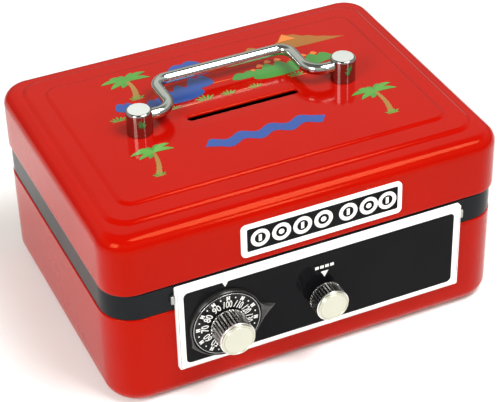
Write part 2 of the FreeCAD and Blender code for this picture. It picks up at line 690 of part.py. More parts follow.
def make_striker_rivets():
    inner_y = FRONT_Y + LID_SHEET + STRIKER_SHEET
    return Part.makeCompound([rivet(x, z, FRONT_Y, inner_y, 1) for x, z in striker_rivet_places()])


# ---- handle ----

def make_handle_post(side):
    """Turned chrome post with a rounded top and a side bore for the wire handle."""
    foot_z = LID_PANEL_Z
    top_z = foot_z + POST_HEIGHT
    x = side * POST_X
    post = rod(vec(x, 0, foot_z), vec(x, 0, top_z), POST_R)
    post = post.makeFillet(POST_EDGE_R, edges_at_height(post, top_z))
    axis_z = foot_z + BAIL_RISE
    bore = rod(vec(side * (BAIL_END_X + FREE_GAP), 0, axis_z), vec(side * (POST_X - POST_R - 1), 0, axis_z),
               BAIL_R + BAIL_RUNNING)
    thread_top = foot_z + SCREW_REACH + SCREW_TIP_ROOM
    thread = rod(vec(side * POST_X, 0, foot_z - 1), vec(side * POST_X, 0, thread_top), SCREW_R)
    return post.cut(bore).cut(thread)


def make_handle_bail():
    """Bent chrome wire: ends in the posts, soft bends, two legs and a straight grip."""
    z = LID_PANEL_Z + BAIL_RISE
    slant = math.sqrt(0.5)
    path = []
    inner = BAIL_LEG_X + BAIL_INNER_BEND
    outer = BAIL_LEG_X - BAIL_OUTER_BEND
    for side in (-1, 1):
        start = vec(side * inner, 0, z)
        bend = vec(side * (inner - BAIL_INNER_BEND * slant), BAIL_INNER_BEND * (1 - slant), z)
        leg_low = vec(side * BAIL_LEG_X, BAIL_INNER_BEND, z)
        leg_high = vec(side * BAIL_LEG_X, BAIL_REACH - BAIL_OUTER_BEND, z)
        turn = vec(side * (BAIL_LEG_X - BAIL_OUTER_BEND * (1 - slant)),
                   BAIL_REACH - BAIL_OUTER_BEND * (1 - slant), z)
        grip = vec(side * outer, BAIL_REACH, z)
        path.append(Part.makeLine(vec(side * BAIL_END_X, 0, z), start))
        path.append(Part.Arc(start, bend, leg_low).toShape())
        path.append(Part.makeLine(leg_low, leg_high))
        path.append(Part.Arc(leg_high, turn, grip).toShape())
    path.append(Part.makeLine(vec(-outer, BAIL_REACH, z), vec(outer, BAIL_REACH, z)))
    wire = Part.Wire(Part.__sortEdges__(path))
    section = Part.Wire([Part.makeCircle(BAIL_R, wire.OrderedVertexes[0].Point, X_AXIS)])
    return wire.makePipeShell([section], True, True)


def make_handle_washers():
    """Washers under the lid, one per post."""
    top_z = LID_PANEL_Z - LID_SHEET
    washers = []
    for side in (-1, 1):
        disc = rod(vec(side * POST_X, 0, top_z - WASHER_SHEET), vec(side * POST_X, 0, top_z), WASHER_R)
        hole = rod(vec(side * POST_X, 0, top_z - 2), vec(side * POST_X, 0, top_z + 1), SCREW_R)
        washers.append(disc.cut(hole))
    return Part.makeCompound(washers)


def make_handle_screws():
    """Screws up through the lid into the posts, with cross-slotted heads."""
    seat_z = LID_PANEL_Z - LID_SHEET - WASHER_SHEET
    slot_z = (seat_z - SCREW_HEAD_H - 1, seat_z - SCREW_HEAD_H / 2)
    arm = (-CROSS_ARM, CROSS_ARM)
    width = (-CROSS_HALF_WIDTH, CROSS_HALF_WIDTH)
    screws = []
    for side in (-1, 1):
        x = side * POST_X
        shank = rod(vec(x, 0, seat_z), vec(x, 0, LID_PANEL_Z + SCREW_REACH), SCREW_R)
        head = rod(vec(x, 0, seat_z - SCREW_HEAD_H), vec(x, 0, seat_z), SCREW_HEAD_R)
        slot_a = box((x + arm[0], x + arm[1]), width, slot_z)
        slot_b = box((x + width[0], x + width[1]), arm, slot_z)
        screws.append(shank.fuse(head).cut(slot_a).cut(slot_b))
    return Part.makeCompound(screws)


def build_all():
    """Every sub-part by node name."""
    return {
        "base_shell": make_base_shell(),
        "rim_collar": make_rim_collar(),
        "panel_frame": make_panel_frame(),
        "panel_face": make_panel_face(),
        "panel_clips": make_panel_clips(),
        "dial_ring": make_dial_ring(),
        "dial_disc": make_dial_disc(),
        "dial_knob": make_dial_knob(),
        "dial_cap": make_dial_cap(),
        "dial_spindle": make_dial_spindle(),
        "cam_disc": make_cam_disc(),
        "spindle_clip": make_spindle_clip(),
        "push_knob": make_push_knob(),
        "push_cap": make_push_cap(),
        "push_shaft": make_push_shaft(),
        "push_collar": make_push_collar(),
        "push_spring": make_push_spring(),
        "lock_housing": make_lock_housing(),
        "lock_rivets": make_lock_rivets(),
        "latch_pin": make_latch_pin(),
        "latch_lever": make_latch_lever(),
        "hinge_base_leaf": make_hinge_base_leaf(),
        "hinge_lid_leaf": make_hinge_lid_leaf(),
        "hinge_pin": make_hinge_pin(),
        "hinge_base_rivets": make_hinge_base_rivets(),
        "hinge_lid_rivets": make_hinge_lid_rivets(),
        "lid_shell": make_lid_shell(),
        "label_frame": make_label_frame(),
        "label_face": make_label_face(),
        "lid_striker": make_lid_striker(),
        "striker_rivets": make_striker_rivets(),
        "handle_post_left": make_handle_post(-1),
        "handle_post_right": make_handle_post(1),
        "handle_bail": make_handle_bail(),
        "handle_washers": make_handle_washers(),
        "handle_screws": make_handle_screws(),
    }


os.makedirs("parts", exist_ok=True)
for node, shape in build_all().items():
    shape.exportStep(f"parts/{node}.step")
    print(node, len(shape.Solids), shape.isValid(), round(shape.Volume / 1000, 3), flush=True)
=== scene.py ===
import logging
import math
from dataclasses import dataclass, field
from enum import Enum

import bpy
import numpy as np
from mathutils import Matrix, Vector


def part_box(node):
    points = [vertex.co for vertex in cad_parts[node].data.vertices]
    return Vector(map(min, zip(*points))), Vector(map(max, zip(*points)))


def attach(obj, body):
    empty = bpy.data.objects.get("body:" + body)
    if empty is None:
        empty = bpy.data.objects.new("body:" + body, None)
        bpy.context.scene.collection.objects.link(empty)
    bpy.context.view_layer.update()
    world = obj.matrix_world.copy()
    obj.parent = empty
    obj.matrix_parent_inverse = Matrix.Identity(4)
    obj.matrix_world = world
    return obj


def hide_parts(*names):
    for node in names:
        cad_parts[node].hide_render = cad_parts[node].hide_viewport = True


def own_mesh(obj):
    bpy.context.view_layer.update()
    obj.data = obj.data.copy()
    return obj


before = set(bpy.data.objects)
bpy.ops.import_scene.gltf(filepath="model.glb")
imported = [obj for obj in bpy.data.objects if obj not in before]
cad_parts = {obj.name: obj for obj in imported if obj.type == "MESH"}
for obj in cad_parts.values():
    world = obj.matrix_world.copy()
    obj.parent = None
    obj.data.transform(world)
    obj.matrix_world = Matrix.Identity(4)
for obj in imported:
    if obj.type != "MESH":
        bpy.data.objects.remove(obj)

# The visual model of a toy safe coin bank. All lengths in this file are metres in the packed
# model's frame: +X along the front to the right, +Y towards the hinge, +Z up.

MM = 0.001
LOG = logging.getLogger("coin_bank")
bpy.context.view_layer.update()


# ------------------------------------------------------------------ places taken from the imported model

@dataclass(frozen=True)
class NodeBox:
    """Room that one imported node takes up, in metres."""

    low: np.ndarray
    high: np.ndarray

    @classmethod
    def of(cls, node: str) -> "NodeBox":
        """The box of a node, by its name."""
        return cls(*(np.array(corner, float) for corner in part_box(node)))

    @property
    def middle(self) -> np.ndarray:
        """Centre of the box."""
        return (self.low + self.high) / 2

    @property
    def half(self) -> np.ndarray:
        """Half of the box's length, depth and height."""
        return (self.high - self.low) / 2


BASE = NodeBox.of("base_shell")
LID = NodeBox.of("lid_shell")
POST = NodeBox.of("handle_post_right")
BAIL = NodeBox.of("handle_bail")
DIAL = NodeBox.of("dial_disc")
DIAL_RING = NodeBox.of("dial_ring")
PANEL_FRAME = NodeBox.of("panel_frame")
PANEL_FACE = NodeBox.of("panel_face")
LABEL_FACE = NodeBox.of("label_face")
BUTTON = NodeBox.of("push_knob")


# ------------------------------------------------------------------ surfaces

class Cap(Enum):
    """How the first or last row of a grid is closed."""

    OPEN = "open"
    FLAT = "flat"


class Axis(Enum):
    """Direction of a turned shape's axis."""

    DEPTH = "Y"
    UP = "Z"


@dataclass
class Surface:
    """Points and faces of one closed or open skin."""

    points: np.ndarray
    faces: list

    def placed(self, matrix: np.ndarray) -> "Surface":
        """The same skin after a 4 by 4 transform of its points."""
        moved = self.points @ matrix[:3, :3].T + matrix[:3, 3]
        return Surface(moved, self.faces)


def skin_from_grid(grid: np.ndarray, wrap_rows: bool = False, first: Cap = Cap.OPEN,
                   last: Cap = Cap.OPEN) -> Surface:
    """Turns a grid of points into quads.

    Point (i, j) of the grid joins (i, j+1), (i+1, j+1) and (i+1, j). Columns always wrap round,
    and rows do when asked. The winding is turned round if the skin's signed volume comes out negative.

    Args:
        grid: array of rows by columns by 3.
        wrap_rows: joins the last row to the first.
        first: closing of the first row.
        last: closing of the last row.

    Returns:
        The skin.
    """
    rows, columns = grid.shape[:2]
    row_index = np.arange(rows if wrap_rows else rows - 1)
    column_index = np.arange(columns)
    r, c = np.meshgrid(row_index, column_index, indexing="ij")
    next_r = (r + 1) % rows
    next_c = (c + 1) % columns
    quads = np.stack([r * columns + c, r * columns + next_c,
                      next_r * columns + next_c, next_r * columns + c], axis=-1).reshape(-1, 4)
    faces = quads.tolist()
    if first is Cap.FLAT:
        faces.append(list(range(columns))[::-1])
    if last is Cap.FLAT:
        faces.append(list(range((rows - 1) * columns, rows * columns)))
    points = grid.reshape(-1, 3)
    corner = points[quads]
    middle = corner.mean(axis=1)
    normal = np.cross(corner[:, 2] - corner[:, 0], corner[:, 3] - corner[:, 1])
    volume = float(np.einsum("ij,ij->", middle - points.mean(axis=0), normal))
    if volume < 0:
        faces = [face[::-1] for face in faces]
    return Surface(points, faces)


def merged(parts: list) -> Surface:
    """Joins several skins into one.

    Args:
        parts: the skins.

    Returns:
        One skin with every part's points and faces.
    """
    offset = 0
    points = []
    faces = []
    for part in parts:
        points.append(part.points)
        faces += [[index + offset for index in face] for face in part.faces]
        offset += len(part.points)
    return Surface(np.concatenate(points), faces)


def rounded_loops(half_x: np.ndarray, half_y: np.ndarray, radius: np.ndarray,
                  centre_y: np.ndarray, corner_steps: int = 14, side_steps: int = 18) -> np.ndarray:
    """Rounded rectangles, one per row, all with the same number of points.

    Each quarter turn is an arc of the row's radius about a corner centre, and a straight side of
    evenly spaced points joins it to the next arc.

    Args:
        half_x: half lengths along X.
        half_y: half lengths along Y.
        radius: corner radii.
        centre_y: middle of each rectangle in Y.
        corner_steps: steps in each corner arc.
        side_steps: steps in each straight side.

    Returns:
        Array of rows by points by 2.
    """
    half_x, half_y, radius, centre_y = [np.atleast_1d(np.asarray(v, float))[:, None]
                                        for v in (half_x, half_y, radius, centre_y)]
    sweep = np.linspace(0.0, math.pi / 2, corner_steps + 1)[None, :]
    arcs = []
    for quarter, (sx, sy) in enumerate(((1, 1), (-1, 1), (-1, -1), (1, -1))):
        angle = sweep + quarter * math.pi / 2
        x = sx * (half_x - radius) + radius * np.cos(angle)
        y = centre_y + sy * (half_y - radius) + radius * np.sin(angle)
        arcs.append(np.stack([x, y], axis=-1))
    pieces = []
    blend = np.linspace(0.0, 1.0, side_steps + 1)[1:-1][None, :, None]
    for quarter in range(4):
        this_arc = arcs[quarter]
        next_arc = arcs[(quarter + 1) % 4]
        pieces.append(this_arc)
        pieces.append(this_arc[:, -1:] * (1 - blend) + next_arc[:, :1] * blend)
    return np.concatenate(pieces, axis=1)


def box_rings(rings: np.ndarray) -> np.ndarray:
    """Grid of rounded rectangles, each at its own height.

    Args:
        rings: rows of half x, half y, corner radius, centre y and z, in metres.

    Returns:
        Array of rows by points by 3.
    """
    flat = rounded_loops(rings[:, 0], rings[:, 1], rings[:, 2], rings[:, 3])
    height = np.broadcast_to(rings[:, 4][:, None, None], flat.shape[:2] + (1,))
    return np.concatenate([flat, height], axis=-1)


def lathe(profile: np.ndarray, centre: tuple, axis: Axis, sides: int = 64,
          closed: bool = False) -> Surface:
    """Turned shape: each (radius, along) pair of the profile swept once round an axis.

    Args:
        profile: rows of radius and distance along the axis.
        centre: the two coordinates of the axis line, in X, Y, Z order without the axis's own.
        axis: direction of the axis.
        sides: number of points round.
        closed: the profile is a loop round a hole.

    Returns:
        The turned skin.
    """
    turn = np.linspace(0, 2 * math.pi, sides, endpoint=False)
    across = profile[:, :1] * np.cos(turn)[None, :] + centre[0]
    up = profile[:, :1] * np.sin(turn)[None, :] + centre[1]
    along = np.broadcast_to(profile[:, 1:], across.shape)
    order = (across, along, up) if axis is Axis.DEPTH else (across, up, along)
    ends = Cap.OPEN if closed else Cap.FLAT
    return skin_from_grid(np.stack(order, axis=-1), wrap_rows=closed, first=ends, last=ends)


def tube(path: np.ndarray, side: np.ndarray, radius: float, sides: int = 28) -> Surface:
    """Round wire: a circle carried along a path, square to it.

    The circle's first direction is the given side direction at each point, and its second is the
    cross product of the path's tangent with it. The ends are flat.

    Args:
        path: points of the middle line.
        side: unit vectors square to the path at each point.
        radius: wire radius.
        sides: points round the wire.

    Returns:
        The wire's skin.
    """
    tangent = np.gradient(path, axis=0)
    tangent /= np.linalg.norm(tangent, axis=1, keepdims=True)
    other = np.cross(tangent, side)
    turn = np.linspace(0, 2 * math.pi, sides, endpoint=False)[None, :, None]
    grid = path[:, None] + radius * (np.cos(turn) * side[:, None] + np.sin(turn) * other[:, None])
    return skin_from_grid(grid, first=Cap.FLAT, last=Cap.FLAT)


def smooth_step(t: np.ndarray) -> np.ndarray:
    """S-shaped ease: three t squared minus two t cubed."""
    return t * t * (3 - 2 * t)


def make_object(name: str, skin: Surface, material: bpy.types.Material, body: str,
                stands_for: tuple = (), sharp_angle: float = 40.0,
                groove: np.ndarray | None = None) -> bpy.types.Object:
    """Puts a skin into a mesh object at the origin that rides on a body.

    Args:
        name: object name.
        skin: points and faces.
        material: finish of the piece.
        body: CAD body it moves with.
        stands_for: CAD nodes it replaces.
        sharp_angle: edges sharper than this many degrees keep a crease.
        groove: one value per point, 1 at the bottom of a groove; the knurl finish paints shade from it.

    Returns:
        The new object.
    """
    mesh = bpy.data.meshes.new(name)
    mesh.from_pydata(skin.points.tolist(), [], skin.faces)
    mesh.validate()
    mesh.polygons.foreach_set("use_smooth", np.ones(len(mesh.polygons), dtype=bool))
    if groove is not None:
        mesh.attributes.new("groove", "FLOAT", "POINT").data.foreach_set("value", groove.astype(np.float32))
    mesh.set_sharp_from_angle(angle=math.radians(sharp_angle))
    mesh.update()
    obj = bpy.data.objects.new(name, mesh)
    bpy.context.scene.collection.objects.link(obj)
    mesh.materials.append(material)
    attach(obj, body)
    if stands_for:
        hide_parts(*stands_for)
    LOG.info("piece %s: %d points, rides on %s", name, len(mesh.vertices), body)
    return obj


# ------------------------------------------------------------------ finishes

class NodeKit:
    """Short calls for building one node tree."""

    def __init__(self, tree: bpy.types.NodeTree) -> None:
        """Keeps the tree and its links."""
        self.tree = tree
        self.x = -1200

    def add(self, kind: str, **inputs: object) -> bpy.types.Node:
        """Adds a node and sets properties or input values.

        Args:
            kind: node type without the ShaderNode prefix.
            inputs: property or socket names (underscores for spaces) with values or sockets.

        Returns:
            The node.
        """
        node = self.tree.nodes.new("ShaderNode" + kind)
        node.location = (self.x, 0)
        self.x += 60
        for key, value in inputs.items():
            if hasattr(node, key):
                setattr(node, key, value)
            else:
                self.feed(node.inputs[key.replace("_", " ")], value)
        return node

    def feed(self, socket: bpy.types.NodeSocket, value: object) -> None:
        """Links an output to a socket, or sets a constant on it.

        Args:
            socket: the input.
            value: an output socket or a constant.
        """
        if isinstance(value, bpy.types.NodeSocket):
            self.tree.links.new(value, socket)
        else:
            socket.default_value = value

    def math(self, operation: str, a: object, b: object = 0.0) -> bpy.types.NodeSocket:
        """Adds a Math node.

        Args:
            operation: what the node works out.
            a: first value or socket.
            b: second value or socket.

        Returns:
            The node's output.
        """
        node = self.add("Math", operation=operation)
        self.feed(node.inputs[0], a)
        self.feed(node.inputs[1], b)
        return node.outputs[0]

    def mix(self, factor: object, a: object, b: object, blend: str = "MIX") -> bpy.types.NodeSocket:
        """Adds a colour Mix node.

        Args:
            factor: share of the second colour.
            a: first colour.
            b: second colour.
            blend: how they are mixed.

        Returns:
            The node's output.
        """
        node = self.add("Mix", data_type="RGBA", blend_type=blend)
        self.feed(node.inputs[0], factor)
        self.feed(node.inputs[6], a)
        self.feed(node.inputs[7], b)
        return node.outputs[2]

    def span(self, value: object, low: float, high: float) -> bpy.types.NodeSocket:
        """Adds a clamped Map Range node that gives 0 at a low value and 1 at a high one.

        Args:
            value: the socket that is read.
            low: value that gives 0.
            high: value that gives 1.

        Returns:
            The node's output.
        """
        node = self.add("MapRange")
        for index, item in enumerate((value, low, high, 0.0, 1.0)):
            self.feed(node.inputs[index], item)
        return node.outputs[0]


def rgb(red: float, green: float, blue: float) -> tuple:
    """Linear colour with full alpha."""
    return (red, green, blue, 1.0)


class SharedGroups:
    """Shader node groups used by several finishes, built once."""

    def __init__(self) -> None:
        """Builds both groups."""
        self.skin = self._skin_group()
        self.age = self._age_group()

    @staticmethod
    def _new(name: str, inputs: tuple, outputs: tuple) -> tuple:
        """Empty group with sockets.

        Args:
            name: group name.
            inputs: (name, default) pairs of float inputs.
            outputs: output names.

        Returns:
            The group, its kit, its input node and its output node.
        """
        group = bpy.data.node_groups.new(name, "ShaderNodeTree")
        for socket_name, default in inputs:
            socket = group.interface.new_socket(name=socket_name, in_out="INPUT",
                                                socket_type="NodeSocketFloat")
            socket.default_value = default
        for socket_name in outputs:
            group.interface.new_socket(name=socket_name, in_out="OUTPUT",
                                       socket_type="NodeSocketFloat")
        kit = NodeKit(group)
        return group, kit, group.nodes.new("NodeGroupInput"), group.nodes.new("NodeGroupOutput")

    def _skin_group(self) -> bpy.types.NodeTree:
        """Fine relief of a sprayed or moulded skin: soft orange peel plus a share of tiny grain.

        Returns:
            The group, with the relief's height and a slow blotch mask.
        """
        inputs = (("Peel Scale", 350.0), ("Grain Scale", 2500.0), ("Grain Share", 0.3))
        group, kit, source, result = self._new("skin_relief", inputs, ("Height", "Blotch"))
        place = kit.add("TexCoord").outputs["Object"]
        peel = kit.add("TexNoise", Vector=place, Scale=source.outputs["Peel Scale"], Detail=2.0,
                       Roughness=0.5)
        grain = kit.add("TexNoise", Vector=place, Scale=source.outputs["Grain Scale"], Detail=3.0,
                        Roughness=0.6)
        blotch = kit.add("TexNoise", Vector=place, Scale=28.0, Detail=4.0, Roughness=0.55)
        fine = kit.math("MULTIPLY", grain.outputs["Fac"], source.outputs["Grain Share"])
        height = kit.math("ADD", peel.outputs["Fac"], fine)
        group.links.new(height, result.inputs["Height"])
        group.links.new(blotch.outputs["Fac"], result.inputs["Blotch"])
        return group

    def _age_group(self) -> bpy.types.NodeTree:
        """Handling marks: noise stretched into hairlines, and soft thumbed patches.

        Returns:
            The group, with both as masks from 0 to 1.
        """
        inputs = (("Scratch Amount", 0.4), ("Smudge Amount", 0.5))
        group, kit, source, result = self._new("handling_marks", inputs, ("Scratches", "Smudges"))
        place = kit.add("TexCoord").outputs["Object"]
        bent = kit.add("TexNoise", Vector=place, Scale=22.0, Detail=2.0)
        warped = kit.add("VectorMath", operation="MULTIPLY_ADD")
        kit.feed(warped.inputs[0], bent.outputs["Color"])
        kit.feed(warped.inputs[1], (0.02, 0.02, 0.02))
        kit.feed(warped.inputs[2], place)
        stretched = kit.add("Mapping", Vector=warped.outputs[0])
        stretched.inputs["Rotation"].default_value = (0.3, 0.5, 0.7)
        stretched.inputs["Scale"].default_value = (40.0, 900.0, 900.0)
        lines = kit.add("TexNoise", Vector=stretched.outputs[0], Scale=1.0, Detail=1.0)
        thin = kit.span(lines.outputs["Fac"], 0.70, 0.76)
        patches = kit.add("TexNoise", Vector=place, Scale=45.0, Detail=5.0, Roughness=0.65)
        soft = kit.span(patches.outputs["Fac"], 0.48, 0.72)
        scratches = kit.math("MULTIPLY", thin, source.outputs["Scratch Amount"])
        smudges = kit.math("MULTIPLY", soft, source.outputs["Smudge Amount"])
        group.links.new(scratches, result.inputs["Scratches"])
        group.links.new(smudges, result.inputs["Smudges"])
        return group


GROUPS = SharedGroups()


def fresh_material(name: str) -> tuple:
    """New node material.

    Args:
        name: material name.

    Returns:
        The material, its kit and its Principled node.
    """
    material = bpy.data.materials.new("look_" + name)
    material.use_nodes = True
    kit = NodeKit(material.node_tree)
    return material, kit, material.node_tree.nodes["Principled BSDF"]


@dataclass(frozen=True)
class CoatedFinish:
    """Sprayed enamel, gloss plastic or ink: a colour under soft relief, smudges and hairlines."""

    name: str
    colour: tuple
    shade: tuple
    roughness: float = 0.12
    rough_gain: float = 0.10
    specular: float = 0.5
    peel_scale: float = 350.0
    grain_share: float = 0.25
    bump_depth: float = 0.02
    scratch: float = 0.2
    smudge: float = 0.5
    specular_tint: tuple = (1.0, 1.0, 1.0, 1.0)

    def build(self) -> bpy.types.Material:
        """Builds the material.

        Returns:
            The material, with blotched colour, smudged roughness and fine bump.
        """
        material, kit, surface = fresh_material(self.name)
        relief = kit.add("Group", node_tree=GROUPS.skin)
        relief.inputs["Peel Scale"].default_value = self.peel_scale
        relief.inputs["Grain Share"].default_value = self.grain_share
        marks = kit.add("Group", node_tree=GROUPS.age)
        marks.inputs["Scratch Amount"].default_value = self.scratch
        marks.inputs["Smudge Amount"].default_value = self.smudge
        blotch = kit.span(relief.outputs["Blotch"], 0.3, 0.7)
        colour = kit.mix(blotch, self.colour, self.shade)
        rough = kit.math("MULTIPLY_ADD", marks.outputs["Smudges"], self.rough_gain)
        rough.node.inputs[2].default_value = self.roughness
        rougher = kit.math("MULTIPLY_ADD", marks.outputs["Scratches"], self.rough_gain * 1.5)
        kit.feed(rougher.node.inputs[2], rough)
        bump = kit.add("Bump", Strength=0.5, Distance=self.bump_depth * MM)
        kit.feed(bump.inputs["Height"], relief.outputs["Height"])
        kit.feed(surface.inputs["Base Color"], colour)
        kit.feed(surface.inputs["Roughness"], rougher)
        kit.feed(surface.inputs["Normal"], bump.outputs[0])
        surface.inputs["Specular IOR Level"].default_value = self.specular
        surface.inputs["Specular Tint"].default_value = self.specular_tint
        return material


class Turning(Enum):
    """Which way the tool lines run on bare metal."""

    NONE = "none"
    RINGS = "rings"
    GRAIN = "grain"


@dataclass(frozen=True)
class MetalFinish:
    """Bare or plated metal with tool lines, hairlines and slightly uneven polish."""

    name: str
    colour: tuple
    shade: tuple
    roughness: float = 0.08
    rough_gain: float = 0.12
    turning: Turning = Turning.NONE
    centre: tuple = (0.0, 0.0, 0.0)
    line_scale: float = 1800.0
    line_depth: float = 0.004
    scratch: float = 0.5
    smudge: float = 0.6
    painted_groove_shade: str = ""

    def _lines(self, kit: NodeKit) -> bpy.types.NodeSocket:
        """Height of the tool lines: rings round the Y axis through the centre, or stretched noise.

        Args:
            kit: the material's nodes.

        Returns:
            The height's socket.
        """
        place = kit.add("TexCoord").outputs["Object"]
        if self.turning is Turning.RINGS:
            moved = kit.add("VectorMath", operation="SUBTRACT")
            kit.feed(moved.inputs[0], place)
            kit.feed(moved.inputs[1], self.centre)
            flat = kit.add("VectorMath", operation="MULTIPLY")
            kit.feed(flat.inputs[0], moved.outputs[0])
            kit.feed(flat.inputs[1], (1.0, 0.0, 1.0))
            length = kit.add("VectorMath", operation="LENGTH")
            kit.feed(length.inputs[0], flat.outputs[0])
            noise = kit.add("TexNoise", noise_dimensions="1D", Scale=self.line_scale, Detail=3.0)
            kit.feed(noise.inputs["W"], length.outputs["Value"])
            return noise.outputs["Fac"]
        stretch = kit.add("Mapping", Vector=place)
        stretch.inputs["Scale"].default_value = (60.0, 60.0, self.line_scale)
        if self.turning is Turning.NONE:
            stretch.inputs["Scale"].default_value = (300.0, 300.0, 300.0)
        noise = kit.add("TexNoise", Vector=stretch.outputs[0], Scale=1.0, Detail=4.0)
        return noise.outputs["Fac"]

    def build(self) -> bpy.types.Material:
        """Builds the material.

        Returns:
            The material, with line relief, uneven polish, a slightly mottled colour and, where a groove mask
            is given, painted shade in the grooves.
        """
        material, kit, surface = fresh_material(self.name)
        relief = kit.add("Group", node_tree=GROUPS.skin)
        marks = kit.add("Group", node_tree=GROUPS.age)
        marks.inputs["Scratch Amount"].default_value = self.scratch
        marks.inputs["Smudge Amount"].default_value = self.smudge
        lines = self._lines(kit)
        blotch = kit.span(relief.outputs["Blotch"], 0.3, 0.7)
        colour = kit.mix(blotch, self.colour, self.shade)
        rough = kit.math("MULTIPLY_ADD", marks.outputs["Smudges"], self.rough_gain)
        rough.node.inputs[2].default_value = self.roughness
        rougher = kit.math("MULTIPLY_ADD", marks.outputs["Scratches"], self.rough_gain)
        kit.feed(rougher.node.inputs[2], rough)
        bump = kit.add("Bump", Strength=0.6, Distance=self.line_depth * MM)
        kit.feed(bump.inputs["Height"], lines)
        # Painted shade: where the groove mask is set, in the knurl notches and on the knob's neck, the
        # colour is mixed towards near black.
        if self.painted_groove_shade:
            groove = kit.add("Attribute", attribute_name=self.painted_groove_shade)
            colour = kit.mix(groove.outputs["Fac"], colour, rgb(0.02, 0.02, 0.018))
        kit.feed(surface.inputs["Base Color"], colour)
        kit.feed(surface.inputs["Roughness"], rougher)
        kit.feed(surface.inputs["Normal"], bump.outputs[0])
        surface.inputs["Metallic"].default_value = 1.0
        return material


class Finishes:
    """Every finish on the object, built once by name."""

    def __init__(self) -> None:
        """Builds the materials."""
        self.red = CoatedFinish("red_enamel", rgb(0.355, 0.0030, 0.0008), rgb(0.33, 0.0024, 0.0007),
                                roughness=0.09, rough_gain=0.07, specular=0.19,
                                specular_tint=rgb(1.0, 0.34, 0.12), peel_scale=420.0,
                                bump_depth=0.010, scratch=0.12, smudge=0.35).build()
        self.black_band = CoatedFinish("black_enamel", rgb(0.006, 0.007, 0.009), rgb(0.009, 0.010, 0.012),
                                       roughness=0.16, rough_gain=0.12, specular=0.08,
                                       peel_scale=500.0, bump_depth=0.012).build()
        self.white = CoatedFinish("white_moulding", rgb(0.90, 0.90, 0.89), rgb(0.86, 0.86, 0.85),
                                  roughness=0.25, rough_gain=0.12, peel_scale=600.0,
                                  bump_depth=0.006, smudge=0.3).build()
        self.black_gloss = CoatedFinish("black_gloss", rgb(0.004, 0.004, 0.005), rgb(0.007, 0.007, 0.008),
                                        roughness=0.10, rough_gain=0.14, specular=0.05,
                                        peel_scale=700.0, grain_share=0.6, bump_depth=0.010,
                                        scratch=0.35, smudge=0.5).build()
        self.dial_black = CoatedFinish("dial_black", rgb(0.004, 0.004, 0.004), rgb(0.006, 0.006, 0.006),
                                       roughness=0.22, specular=0.12, peel_scale=900.0,
                                       bump_depth=0.006).build()
        self.bezel = CoatedFinish("bezel_black", rgb(0.010, 0.010, 0.009), rgb(0.014, 0.014, 0.013),
                                  roughness=0.14, rough_gain=0.12, specular=0.6,
                                  peel_scale=900.0, bump_depth=0.008).build()
        self.white_ink = self.ink("white_ink", rgb(0.82, 0.82, 0.80), rgb(0.74, 0.74, 0.72),
                                  roughness=0.35, peel_scale=1500.0, grain_share=0.8)
        self.blue_ink = self.ink("blue_ink", rgb(0.012, 0.050, 0.22), rgb(0.016, 0.062, 0.27))
        self.green_ink = self.ink("green_ink", rgb(0.035, 0.19, 0.030), rgb(0.060, 0.25, 0.040))
        self.leaf_ink = self.ink("leaf_ink", rgb(0.095, 0.30, 0.045), rgb(0.040, 0.20, 0.022))
        self.bark_ink = self.ink("bark_ink", rgb(0.24, 0.115, 0.018), rgb(0.31, 0.17, 0.035),
                                 roughness=0.3, peel_scale=2600.0, grain_share=1.0, bump_depth=0.006)
        self.olive_ink = self.ink("olive_ink", rgb(0.30, 0.090, 0.008), rgb(0.25, 0.115, 0.014),
                                  roughness=0.3, peel_scale=2000.0)
        self.orange_ink = self.ink("orange_ink", rgb(0.66, 0.13, 0.012), rgb(0.70, 0.21, 0.04),
                                   roughness=0.3, peel_scale=2000.0)
        self.chrome = MetalFinish("polished_chrome", rgb(0.52, 0.58, 0.575), rgb(0.46, 0.51, 0.51),
                                  roughness=0.09, rough_gain=0.06, line_depth=0.0012,
                                  scratch=0.12, smudge=0.3).build()
        # Painted shade and highlight: the post sides get a darker chrome than the wire, standing in for the
        # dark reflections down them, and the post tops a light matt grey face, standing in for the highlight
        # on the domes.
        self.shaded_post_chrome = MetalFinish("shaded_post_chrome", rgb(0.34, 0.33, 0.33), rgb(0.28, 0.28, 0.28),
                                       roughness=0.04, rough_gain=0.06, line_depth=0.0012,
                                       scratch=0.12, smudge=0.3).build()
        self.lit_post_face = CoatedFinish("lit_post_top", rgb(0.47, 0.50, 0.48), rgb(0.40, 0.43, 0.41),
                                  roughness=0.24, rough_gain=0.12, bump_depth=0.003,
                                  scratch=0.3, smudge=0.6).build()
        # The knurl's notches and neck carry painted shade through the groove mask.
        self.knurl = MetalFinish("knurled_chrome", rgb(0.82, 0.82, 0.80), rgb(0.74, 0.74, 0.73),
                                 roughness=0.26, rough_gain=0.10, line_depth=0.002,
                                 smudge=0.4, painted_groove_shade="groove").build()
        self.steel = MetalFinish("plated_steel", rgb(0.46, 0.47, 0.49), rgb(0.56, 0.56, 0.56),
                                 roughness=0.26, rough_gain=0.2, turning=Turning.GRAIN,
                                 line_depth=0.006).build()
        self.rivet = MetalFinish("rivet_steel", rgb(0.58, 0.58, 0.58), rgb(0.50, 0.50, 0.52),
                                 roughness=0.22, rough_gain=0.2, line_depth=0.003).build()
        self.spring = MetalFinish("spring_wire", rgb(0.42, 0.42, 0.44), rgb(0.50, 0.50, 0.52),
                                  roughness=0.24, rough_gain=0.15, line_depth=0.003).build()
        self.clip = MetalFinish("dull_clip", rgb(0.30, 0.31, 0.32), rgb(0.38, 0.38, 0.38),
                                roughness=0.36, rough_gain=0.2, turning=Turning.GRAIN).build()

    @staticmethod
    def ink(name: str, colour: tuple, shade: tuple, **changes: float) -> bpy.types.Material:
        """Printed ink: half matt with a fine grain.

        Args:
            name: material name.
            colour: main colour.
            shade: colour of the blotches.
            changes: fields that differ from the usual ink.

        Returns:
            The material.
        """
        usual = {"roughness": 0.28, "peel_scale": 1800.0, "grain_share": 0.9, "bump_depth": 0.004}
        return CoatedFinish(name, colour, shade, **{**usual, **changes}).build()

